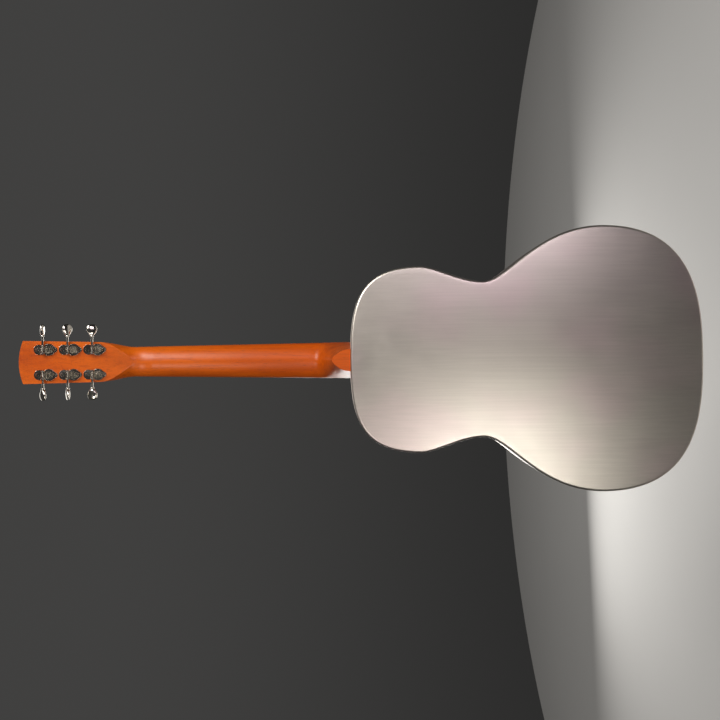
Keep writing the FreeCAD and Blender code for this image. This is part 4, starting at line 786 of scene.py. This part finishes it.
def keel_depth(z):
    """Depth behind the fingerboard: a slow taper, plus a keel of share^4 near the joint, where
    share = 1 - (z / reach)^2."""
    neck = sizes()[1]
    taper = neck.depth_heel + (neck.depth_nut - neck.depth_heel) * z / (neck.scale / 2)
    share = np.clip(1 - (z / neck.heel_reach) ** 2, 0, None)
    return taper + (neck.heel_keel - neck.depth_heel) * share**4


def cap_depth(z):
    """Depth of the heel's flat cap, a plane parallel to the body's middle."""
    body, neck = sizes()[:2]
    reach = body.rim_half - neck.heel_setback - SHELL_FRONT
    return (reach - z * math.sin(neck.lean)) / math.cos(neck.lean)


def heel_cap_end():
    """Where the keel rises through the cap's plane: the point of the cap."""
    z = np.linspace(0, sizes()[1].heel_reach, 4000)
    over = keel_depth(z) - cap_depth(z)
    return float(z[np.argmax(over < 0)])


def neck_sections():
    """For every station: front point, depth direction, half width, core half width, full depth,
    flat's depth, roundness and flat's half width. A section is a superellipse
    x = core + (half - core) cos^(2/p), y = depth sin^(2/p), cut off at the flat."""
    neck = sizes()[1]
    lean, nut = neck.head_lean, neck.scale / 2 + neck.nut_thick
    along = neck_stations()
    past = np.clip(along - nut, 0, None)
    tilt = lean * smooth((along - nut + 0.030) / 0.056)
    front = np.stack(
        [0 * along, past * math.sin(lean), np.minimum(along, nut) + past * math.cos(lean)], 1
    )
    depth_way = np.stack([0 * along, np.cos(tilt), -np.sin(tilt)], 1)
    slab_way = np.array([0, math.cos(lean), -math.sin(lean)])
    slab_point = np.array([0, 0, nut]) + neck.head_thick * slab_way
    slab = (slab_point - front) @ slab_way / (depth_way @ slab_way)

    power = 1.8 - 0.8 * np.clip(1.6 * (1 - along / neck.heel_reach), 0, 1)
    keel = keel_depth(np.maximum(along, 0))
    to_slab = smooth((along - nut + 0.03) / 0.03)
    keel = keel + (slab - keel) * np.where(along > nut - 0.03, to_slab, 0)
    cap = cap_depth(along)
    flat = np.where(along < nut, np.minimum(keel, cap), slab)

    on_head = along >= nut
    half = np.where(on_head, head_half_width(past), half_board(np.minimum(along, nut)))
    share = 1 - np.clip(1 - past / neck.shoulder, 0, 1) ** 2.1
    flat_half_head = np.where(on_head, half * share, 0)
    swell = 1 + 0.07 * smooth(flat_half_head / 0.010)
    depth = np.where(on_head, slab * swell, keel)
    cut = (1 - np.clip(flat / depth, 0, 1) ** power) ** (1 / power)
    core = np.where(on_head & (flat_half_head > 0), (flat_half_head - cut * half) / (1 - cut), 0)
    flat_half = core + (half - core) * cut
    return along, front, depth_way, half, core, depth, flat, power, flat_half


def neck_patches():
    """Two flanks, the flats of heel cap and head, the front, and both ends."""
    neck = sizes()[1]
    along, front, way, half, core, depth, flat, power, flat_half = neck_sections()
    nut = neck.scale / 2 + neck.nut_thick
    bow = neck.tip_bow * smooth((along - nut - neck.shoulder) / (neck.head_long - neck.shoulder))
    stop = np.arcsin(np.clip(flat / depth, 0, 1) ** (power / 2))
    turn = stop[:, None] * np.linspace(0, 1, 30) ** 0.9
    x = core[:, None] + (half - core)[:, None] * np.cos(turn) ** (2 / power)[:, None]
    y = depth[:, None] * np.sin(turn) ** (2 / power)[:, None]
    y[:, -1] = flat
    x[:, -1] = flat_half

    def settle(across, deep, rows):
        """Section points carried onto their stations, the head's rows bowed towards the tip."""
        points = front[rows][:, None] + way[rows][:, None] * deep[..., None]
        points = points + np.array([1.0, 0, 0]) * across[..., None]
        back_off = bow[rows][:, None] * (across / neck.tip_half) ** 2
        lean = np.array([0, math.sin(neck.head_lean), math.cos(neck.head_lean)])
        return placed(points - lean * back_off[..., None], neck_frame())

    every = np.arange(len(along))
    across = np.linspace(-1, 1, 13)
    patches = [settle(x, y, every), settle(-x, y, every)]
    patches.append(settle(half[:, None] * across, 0 * across + 0 * half[:, None], every))
    for rows in (every[along <= heel_cap_end() + 1e-6], every[along >= nut - 1e-7]):
        patches.append(
            settle(flat_half[rows, None] * across, flat[rows, None] + 0 * across, rows)
        )
    for end in (0, -1):
        one = np.full(x.shape[1], every[end])
        patches.append(settle(x[end][:, None] * across, y[end][:, None] + 0 * across, one))
    return patches


def tongue_patches():
    """The thin wedge of wood between the top plate and the fingerboard's overhang."""
    board_low = np.array(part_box("fingerboard")[0])
    neck = sizes()[1]
    run = JOINT_Z - board_low[2] - 0.004
    along = np.linspace(-0.002, run, 12)
    z = -along / math.cos(neck.lean)
    half = half_board(z) - 0.0016
    top = np.stack([np.stack([w * half, 0 * z, z], 1) for w in (-1, 1)], 1)
    top = placed(top, neck_frame())
    bottom = top.copy()
    bottom[..., 1] = SHELL_FRONT + 0.0001
    ends = [np.stack([top[i], bottom[i]]) for i in (0, -1)]
    sides = [np.stack([top[:, i], bottom[:, i]], 1) for i in (0, 1)]
    return [top, bottom, *ends, *sides]


class GUITAR_OT_neck(bpy.types.Operator):
    """Carves the neck: heel with its pointed cap, slim shaft, and solid head"""

    bl_idname = "guitar.neck"
    bl_label = "Neck"

    def execute(self, context):
        wood = mahogany("satin_mahogany")
        neck = surface_piece("carved_neck", neck_patches() + tongue_patches(), 4e-6)
        soften_edges(neck, 0.0005)
        finish_piece(neck, "guitar", "mahogany", wood, "neck")
        return {"FINISHED"}


class GUITAR_OT_fingerboard(bpy.types.Operator):
    """Fingerboard, frets, position dots and nut"""

    bl_idname = "guitar.fingerboard"
    bl_label = "Fingerboard"

    def execute(self, context):
        tones = sizes()[3]
        board = oiled_wood("oiled_fingerboard", tuple(tones.rosewood))
        refined("fingerboard", "played_board", "dark_wood", board, 0.0003)
        fret = polished_nickel("fret_wire", 0.16, (0.70, 0.69, 0.66))
        refined("frets", "fret_wires", "fret_metal", fret, 0.0001, even=True)
        refined("fret_markers", "position_dots", "pearl", pearl_dots("pearl_inlay"))
        refined("nut", "bone_nut", "bone", polished_bone("polished_bone"), 0.0003)
        return {"FINISHED"}


class GUITAR_OT_head(bpy.types.Operator):
    """The head's front: dark veneer, truss rod cover and its screws"""

    bl_idname = "guitar.head"
    bl_label = "Head front"

    def execute(self, context):
        veneer = oiled_wood("head_veneer", (0.030, 0.016, 0.011), 0.00004, 0.30)
        refined("head_overlay", "front_veneer", "dark_wood", veneer, 0.0003)
        refined("truss_cover", "rod_cover", "black_plastic", black_gloss("gloss_black"), 0.0004)
        screw = polished_nickel("cover_screw", 0.18)
        refined("truss_cover_screws", "rod_cover_screws", "nickel", screw, 0.00012)
        return {"FINISHED"}


class GUITAR_OT_cover(bpy.types.Operator):
    """Coverplate, palm rest and their screws"""

    bl_idname = "guitar.cover"
    bl_label = "Coverplate"

    def execute(self, context):
        plate = polished_nickel("cover_nickel", 0.15)
        refined("coverplate", "pierced_cover", "nickel", plate, 0.0002, even=True)
        refined("palm_rest", "hand_rest", "nickel", plate, 0.0003, even=True)
        screw = polished_nickel("plate_screw", 0.20)
        refine_all(
            "nickel", screw,
            ("coverplate_screws", "cover_screw_heads", 0.00015),
            ("palm_rest_screws", "rest_screw_heads", 0.00015),
        )
        return {"FINISHED"}


class GUITAR_OT_resonator(bpy.types.Operator):
    """Soundwell, spun cone, biscuit, saddle and the wood inside the body"""

    bl_idname = "guitar.resonator"
    bl_label = "Resonator"

    def execute(self, context):
        low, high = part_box("resonator_cone")
        centre = (low + high) / 2
        cone = spun_aluminium("spun_cone", (centre.x, 0.0, centre.z))
        refined("resonator_cone", "spun_resonator", "cone_aluminium", cone, even=True)
        maple = oiled_wood("pale_maple", (0.42, 0.26, 0.13), 0.00002, 0.42)
        refine_all(
            "maple", maple,
            ("bridge_biscuit", "biscuit", 0.0003), ("bridge_saddle", "saddle", 0.0003),
            ("neck_stick", "inner_stick", 0.0003), ("stick_posts", "inner_posts", 0.0003),
        )
        plain = polished_nickel("plain_steel", 0.32, (0.42, 0.42, 0.42))
        refine_all(
            "steel", plain,
            ("soundwell", "well"), ("biscuit_screw", "cone_screw"),
            ("truss_rod", "rod"), ("truss_nut", "rod_adjuster"),
        )
        return {"FINISHED"}


class GUITAR_OT_tail(bpy.types.Operator):
    """Tailpiece and strap button"""

    bl_idname = "guitar.tail"
    bl_label = "Tailpiece"

    def execute(self, context):
        plate = polished_nickel("tail_nickel", 0.14)
        refined("tailpiece", "tail_strap", "nickel", plate, 0.0003)
        refined("strap_button", "strap_knob", "nickel", plate, 0.0002)
        return {"FINISHED"}


# ------------------------------------------------------------------ tuners


def tuner_places():
    """Each tuner: string number, side and distance from the nut."""
    hardware = sizes()[2]
    order = [(1, 1, 0), (2, 1, 1), (3, 1, 2), (4, -1, 2), (5, -1, 1), (6, -1, 0)]
    return [(n, side, hardware.first_post + step * hardware.post_pitch) for n, side, step in order]


def tuner_frame(side, along):
    """Origin on the post's axis at the head's back, +Z out of the back, +X to the button."""
    neck, hardware = sizes()[1:3]
    turn = spin(-math.pi / 2, "X") @ (spin(math.pi, "Z") if side < 0 else np.eye(4))
    return head_frame() @ shift(side * hardware.post_half, neck.head_thick, along) @ turn


def button_patches(transform):
    """A finger button: a flat bean. Along it, z = L(1 - cos u)/2; its half width and thickness
    rise as powers of sin u, narrower at the root, and each ring is a soft-cornered ellipse."""
    hardware = sizes()[2]
    u = np.linspace(0, np.pi, 40)[:, None]
    v = np.linspace(0, 2 * np.pi, 57)[None]
    long = hardware.button_long - 0.0012
    z = 0.0012 + long * (1 - np.cos(u)) / 2
    waist = 0.62 + 0.38 * smooth((z - 0.001) / (long * 0.62))
    wide = hardware.button_half * np.sin(u) ** 0.62 * waist
    thick = hardware.button_thick * np.sin(u) ** 0.72 * (0.86 + 0.14 * np.cos(u))
    x = thick * np.sign(np.cos(v)) * np.abs(np.cos(v)) ** 0.85
    y = wide * np.sign(np.sin(v)) * np.abs(np.sin(v)) ** 0.92
    bean = np.stack([x, y, z + 0 * v], axis=-1)
    collar = np.array([
        (0.0, -0.0002), (2.2, -0.0002), (2.6, 0.1), (2.75, 0.6), (2.7, 1.2), (2.3, 1.9),
        (2.1, 2.6), (2.5, 3.4), (1.6, 4.6), (0.0, 5.0),
    ]) * MM
    return [placed(bean, transform), turned_surface(collar, 40, transform)]


class GUITAR_OT_tuners(bpy.types.Operator):
    """Six open-geared tuners: plates, worms, wheels, posts, bushings and screws"""

    bl_idname = "guitar.tuners"
    bl_label = "Tuners"

    def execute(self, context):
        plate = polished_nickel("tuner_plate_nickel", 0.13)
        gear = polished_nickel("gear_nickel", 0.2, (0.66, 0.60, 0.48))
        refine_all(
            "nickel", plate,
            ("tuner_plates", "tuner_bases", 0.00018),
            ("tuner_bushings", "post_bushings", 0.00015),
            ("tuner_screws", "tuner_screw_heads", 0.00012),
        )
        for n, _side, _along in tuner_places():
            refined(f"worm_{n}", f"worm_shaft_{n}", "nickel", plate, 0.00006)
            refined(f"gear_{n}", f"worm_wheel_{n}", "gear_brass", gear, 0.00008)
            refined(f"post_{n}", f"string_post_{n}", "nickel", plate, 0.0001)
        return {"FINISHED"}


class GUITAR_OT_buttons(bpy.types.Operator):
    """The six finger buttons, each at its own rest angle"""

    bl_idname = "guitar.buttons"
    bl_label = "Tuner buttons"

    rest_turns = (20.0, 75.0, 55.0, 80.0, 35.0, 10.0)

    def execute(self, context):
        hardware = sizes()[2]
        nickel = polished_nickel("button_nickel", 0.10)
        for n, side, along in tuner_places():
            axle = shift(0, -side * hardware.worm_offset, hardware.worm_height)
            reach = shift(0, 0, hardware.button_start - hardware.post_half)
            turn = spin(math.radians(self.rest_turns[n - 1]), "Z")
            place = tuner_frame(side, along) @ axle @ spin(math.pi / 2, "Y") @ reach @ turn
            button = surface_piece(f"finger_button_{n}", button_patches(place), 4e-6)
            finish_piece(button, f"tuner_key_{n}", "nickel", nickel, f"button_{n}")
        return {"FINISHED"}


# ------------------------------------------------------------------ strings

STRING_RADII = tuple(d * MM / 2 for d in (0.33, 0.43, 0.66, 0.89, 1.14, 1.42))
BOARD_RADIUS = 0.305
BOARD_THICK, FRET_HIGH, CLEAR_AT_NUT, CLEAR_GROWTH = 6.3, 1.1, 0.4, 2.0
FIRST_WOUND = 3


def string_height(n, z):
    """A string's place in front of the neck's front line: board and fret, then a clearance
    that grows down the neck, less the board's round."""
    neck, hardware = sizes()[1:3]
    low = (BOARD_THICK + FRET_HIGH + CLEAR_AT_NUT) * MM
    rise = CLEAR_GROWTH * MM * (1 - z / (neck.scale / 2))
    spread = hardware.nut_spread + (hardware.saddle_spread - hardware.nut_spread) * (
        0.5 - z / neck.scale
    )
    across = spread / 2 - (n - 1) * spread / 5
    return across, -(low + rise + STRING_RADII[n - 1]) + across**2 / (2 * BOARD_RADIUS)


def string_corners(n):
    """Ball, saddle, nut and the point where the string meets its post's winding."""
    neck, hardware = sizes()[1:3]
    half = neck.scale / 2
    x = hardware.saddle_spread / 2 - (n - 1) * hardware.saddle_spread / 5
    tail = np.array([
        x, SHELL_FRONT - hardware.lip_out - 2.0 * MM, TAIL_Z + hardware.lip_up - 3.5 * MM
    ])
    across, y = string_height(n, -half)
    saddle = placed(np.array([across, y, -half]), neck_frame())
    across, y = string_height(n, half)
    nut = placed(np.array([across, y, half + neck.nut_thick * 0.2]), neck_frame())
    return [tail, saddle, nut, post_contact(n, nut)[0]]


def post_contact(n, nut):
    """Where a string touches its post's first turn, and the winding's start angle: the
    tangent from the nut to a circle one string radius outside the post, on its inner side."""
    neck, hardware = sizes()[1:3]
    _n, side, along = tuner_places()[n - 1]
    head = head_frame()
    start = placed(nut, np.linalg.inv(head))
    centre = np.array([side * hardware.post_half, -neck.overlay - hardware.string_up, along])
    run = centre - start
    flat = math.hypot(run[0], run[2])
    reach = hardware.post_radius + STRING_RADII[n - 1] + 0.06 * MM
    heading = math.atan2(run[0], run[2]) - side * math.asin(reach / flat)
    free = math.sqrt(flat**2 - reach**2)
    end = np.array([
        start[0] + free * math.sin(heading), centre[1], start[2] + free * math.cos(heading)
    ])
    angle = math.atan2(end[2] - centre[2], end[0] - centre[0])
    return placed(end, head), angle, centre, side, reach


def rounded_path(corners, radius=6.0 * MM):
    """Straight runs with a tangent arc at each inner corner: the arc's points are
    centre + r(e1 cos a + e2 sin a), with e1 and e2 in the plane of the two runs."""
    points = [corners[0]]
    for before, corner, after in zip(corners, corners[1:], corners[2:]):
        back = (before - corner) / np.linalg.norm(before - corner)
        on = (after - corner) / np.linalg.norm(after - corner)
        turn = math.pi - math.acos(np.clip(back @ on, -1, 1))
        first = corner + back * radius * math.tan(turn / 2)
        inward = on + back
        inward /= np.linalg.norm(inward)
        hub = corner + inward * radius / math.cos(turn / 2)
        e1 = (first - hub) / radius
        e2 = -back - (-back @ e1) * e1
        e2 /= np.linalg.norm(e2)
        a = np.linspace(0, turn, 7)[:, None]
        points.extend(hub + radius * (e1 * np.cos(a) + e2 * np.sin(a)))
    points.append(corners[-1])
    return np.array(points)


def tube(path, radius, sides=14, steady=(1.0, 0.0, 0.0)):
    """A round tube along a path, closed at both ends, with its length in metres as v."""
    path = np.asarray(path, float)
    tangent = np.gradient(path, axis=0)
    tangent /= np.linalg.norm(tangent, axis=1)[:, None]
    side = np.cross(tangent, steady)
    side /= np.linalg.norm(side, axis=1)[:, None]
    other = np.cross(tangent, side)
    radius = np.broadcast_to(np.asarray(radius, float), len(path))
    a = np.linspace(0, 2 * np.pi, sides + 1)
    along = np.r_[0, np.cumsum(np.linalg.norm(np.diff(path, axis=0), axis=1))]
    round_way = side[:, None] * np.cos(a)[None, :, None] + other[:, None] * np.sin(a)[None, :, None]
    grid = path[:, None] + round_way * radius[:, None, None]
    ends = np.stack([path[0] + 0 * grid[0], grid[0]]), np.stack([grid[-1], path[-1] + 0 * grid[0]])
    grid = np.concatenate([ends[0][:1], grid, ends[1][1:]])
    along = np.r_[along[0], along, along[-1]]
    uv = np.stack(np.broadcast_arrays(a[None] / (2 * np.pi), along[:, None]), axis=-1)
    return grid, uv


def split_runs(path, step):
    """Adds points along long straight runs, so that the length is shared out evenly."""
    lengths = np.r_[0, np.cumsum(np.linalg.norm(np.diff(path, axis=0), axis=1))]
    extra = np.arange(0, lengths[-1], step)
    places = np.unique(np.r_[lengths, extra].round(8))
    return np.stack([np.interp(places, lengths, path[:, i]) for i in range(3)], 1)


def winding_path(n):
    """Turns round the post towards the head: (r cos a, pitch a/2pi, r sin a) in the head's
    frame, running on from the string's own direction."""
    _end, angle, centre, side, reach = post_contact(n, string_corners(n)[2])
    turns = 2.6 if n > 3 else 4.2
    pitch = STRING_RADII[n - 1] * 2.08
    a = np.linspace(0, 2 * np.pi * turns, int(40 * turns))
    swing = angle - side * a
    local = np.stack(
        [reach * np.cos(swing), pitch * a / (2 * np.pi), reach * np.sin(swing)], 1
    ) + centre
    return placed(local, head_frame())


def ball_patches(n):
    """The brass ball behind the lip: a small drum across the string with rounded rims."""
    tail = string_corners(n)[0]
    rim = [(0.0, -1.7), (1.4, -1.7), (1.8, -1.45), (1.9, -1.1), (1.55, 0), (1.9, 1.1),
           (1.8, 1.45), (1.4, 1.7), (0.0, 1.7)]
    place = shift(*tail) @ spin(math.pi / 2, "Y")
    return [turned_surface(np.array(rim) * MM, 32, place)]


class GUITAR_OT_strings(bpy.types.Operator):
    """Six strings from ball to post, and their windings round the posts"""

    bl_idname = "guitar.strings"
    bl_label = "Strings"

    def execute(self, context):
        bronze = tuple(sizes()[3].bronze)
        plain = plain_wire("plain_wire")
        brass = polished_nickel("ball_brass", 0.22, (0.62, 0.43, 0.16))
        for n in range(1, 7):
            radius = STRING_RADII[n - 1]
            corners = string_corners(n)
            path = split_runs(rounded_path(corners), 0.010)
            wound = n >= FIRST_WOUND
            pitch = radius * 0.42
            wire = wound_wire(f"bronze_wire_{n}", bronze, pitch) if wound else plain
            slot = "wound_string" if wound else "plain_string"
            grid, uv = tube(path, radius)
            string = surface_piece(f"stretched_string_{n}", [(grid, uv)], 1e-7)
            finish_piece(string, "guitar", slot, wire, f"string_{n}")
            way = (corners[1] - corners[0]) / np.linalg.norm(corners[1] - corners[0])
            reach = np.linspace(0, 0.0095, 60)
            core = corners[0] + way * reach[:, None]
            lumps = radius + (0.28 + 0.12 * np.sin(reach * 5200)) * MM * (1 - reach / 0.0105)
            wrap = tube(core, lumps)
            ball = surface_piece(f"string_ball_{n}", ball_patches(n) + [wrap], 1e-7)
            finish_piece(ball, "guitar", "wound_string", brass)
            grid, uv = tube(winding_path(n), radius, 12, tuple(head_frame()[:3, 1]))
            turns = surface_piece(f"post_winding_{n}", [(grid, uv)], 1e-7)
            finish_piece(turns, f"string_post_{n}", slot, wire)
        return {"FINISHED"}


# ------------------------------------------------------------------ stage


def soft_light(name, place, aim, size, watts, tint):
    """A rectangular soft light at a place, turned to face a point."""
    lamp = bpy.data.lights.new(name, "AREA")
    lamp.shape = "RECTANGLE"
    lamp.size, lamp.size_y = size
    lamp.energy = watts
    lamp.color = tint
    light = bpy.data.objects.new(name, lamp)
    bpy.context.scene.collection.objects.link(light)
    light.location = place
    way = Vector(aim) - Vector(place)
    light.rotation_mode = "QUATERNION"
    light.rotation_quaternion = way.to_track_quat("-Z", "Y")


def add_camera(look):
    """Square to the back, neck to the left: image right is -Z and image up is -X, turned by
    the small roll."""
    camera = bpy.data.cameras.new("camera")
    view = bpy.data.objects.new("camera", camera)
    bpy.context.scene.collection.objects.link(view)
    rim = sizes()[0].rim_half
    c, s = math.cos(look.camera_roll), math.sin(look.camera_roll)
    right, up, back = Vector((s, 0, -c)), Vector((-c, 0, -s)), Vector((0, 1, 0))
    turn = Matrix((right, up, back)).transposed().to_4x4()
    middle = Vector((0, rim + look.camera_away, JOINT_Z - look.camera_down))
    view.matrix_world = Matrix.Translation(middle) @ turn
    camera.sensor_width = 36.0
    camera.lens = camera.sensor_width * look.camera_away / look.camera_wide
    camera.clip_start = 0.01
    bpy.context.scene.camera = view


def add_room(look):
    """Even soft light: a little brighter overhead than below."""
    world = bpy.data.worlds.new("room")
    bpy.context.scene.world = world
    world.use_nodes = True
    tree = world.node_tree
    tree.nodes.clear()
    coords = tree.nodes.new("ShaderNodeTexCoord")
    split = tree.nodes.new("ShaderNodeSeparateXYZ")
    ramp = tree.nodes.new("ShaderNodeMapRange")
    glow = tree.nodes.new("ShaderNodeBackground")
    output = tree.nodes.new("ShaderNodeOutputWorld")
    ramp.interpolation_type = "SMOOTHSTEP"
    ramp.inputs[1].default_value, ramp.inputs[2].default_value = -0.35, 0.35
    ramp.inputs[3].default_value = look.room_light * 0.55
    ramp.inputs[4].default_value = look.room_light * 1.25
    glow.inputs[0].default_value = (1.0, 0.985, 0.96, 1.0)
    tree.links.new(coords.outputs["Generated"], split.inputs[0])
    tree.links.new(split.outputs[2], ramp.inputs[0])
    tree.links.new(ramp.outputs[0], glow.inputs[1])
    tree.links.new(glow.outputs[0], output.inputs[0])


class GUITAR_OT_stage(bpy.types.Operator):
    """Plain pale floor, soft studio light and the camera"""

    bl_idname = "guitar.stage"
    bl_label = "Stage"

    def execute(self, context):
        look = context.scene.guitar_stage
        radius = np.linspace(0, look.floor_radius, 24)[:, None]
        angle = np.linspace(0, 2 * np.pi, 97)[None]
        drop = cad_box[0][2] - look.floor_drop
        behind = look.floor_reach - look.floor_radius
        disc = np.stack([
            radius * np.cos(angle), behind + radius * np.sin(angle), drop + 0 * radius * angle
        ], -1)
        floor = surface_piece("floor", [disc], recalculate=False)
        if floor.data.polygons[len(floor.data.polygons) // 2].normal.z < 0:
            floor.data.flip_normals()
        floor.data.materials.append(pale_floor("floor_matt", tuple(look.floor_colour)))
        aim, shaft = (0.0, 0.0, 0.30), (0.0, 0.0, 0.75)
        warm, rosy, white = (1.0, 0.97, 0.92), (1.0, 0.87, 0.98), (1.0, 0.98, 0.95)
        for name, place, towards, size, watts, tint in (
            ("key", (0.50, 1.30, 0.14), aim, (0.60, 0.60), look.key_watts, warm),
            ("fill", (-0.62, 1.30, 0.16), aim, (0.30, 0.75), look.fill_watts, rosy),
            ("neck_strip", (-0.85, 1.2, 1.45), shaft, (0.7, 0.9), look.strip_watts, white),
            ("neck_fill", (0.80, 1.4, 1.15), shaft, (0.40, 0.50), 4.5, warm),
            ("front", (0.3, -2.1, 0.32), (0, 0, 0.4), (1.4, 1.0), 18.0, white),
            ("overhead", (0.0, -1.6, 2.4), (0, -1.9, 0), (1.6, 1.6), 13.0, white),
        ):
            soft_light(name, place, towards, size, watts, tint)
        add_room(look)
        add_camera(look)
        context.scene.view_settings.view_transform = "Standard"
        return {"FINISHED"}


# ------------------------------------------------------------------ panel


OPERATORS = (
    GUITAR_OT_stage,
    GUITAR_OT_body,
    GUITAR_OT_neck,
    GUITAR_OT_fingerboard,
    GUITAR_OT_head,
    GUITAR_OT_cover,
    GUITAR_OT_resonator,
    GUITAR_OT_tail,
    GUITAR_OT_tuners,
    GUITAR_OT_buttons,
    GUITAR_OT_strings,
)


class GUITAR_PT_panel(bpy.types.Panel):
    """Lists the guitar's parts in the sidebar"""

    bl_idname = "GUITAR_PT_panel"
    bl_label = "Resonator guitar"
    bl_space_type = "VIEW_3D"
    bl_region_type = "UI"
    bl_category = "Guitar"

    def draw(self, context):
        for operator in OPERATORS:
            self.layout.operator(operator.bl_idname)


GROUPS = {
    "guitar_body": BodySizes,
    "guitar_neck": NeckSizes,
    "guitar_hardware": HardwareSizes,
    "guitar_finishes": Finishes,
    "guitar_stage": StageLook,
}


def register():
    for item in (*GROUPS.values(), *OPERATORS, GUITAR_PT_panel):
        bpy.utils.register_class(item)
    for label, group in GROUPS.items():
        setattr(bpy.types.Scene, label, PointerProperty(type=group))


def unregister():
    for label in GROUPS:
        delattr(bpy.types.Scene, label)
    for item in (GUITAR_PT_panel, *reversed(OPERATORS), *reversed(tuple(GROUPS.values()))):
        bpy.utils.unregister_class(item)


def main():
    """Builds everything in order."""
    register()
    for operator in OPERATORS:
        family, call = operator.bl_idname.split(".")
        getattr(getattr(bpy.ops, family), call)()
    bpy.context.view_layer.update()


if __name__ == "__main__":
    main()
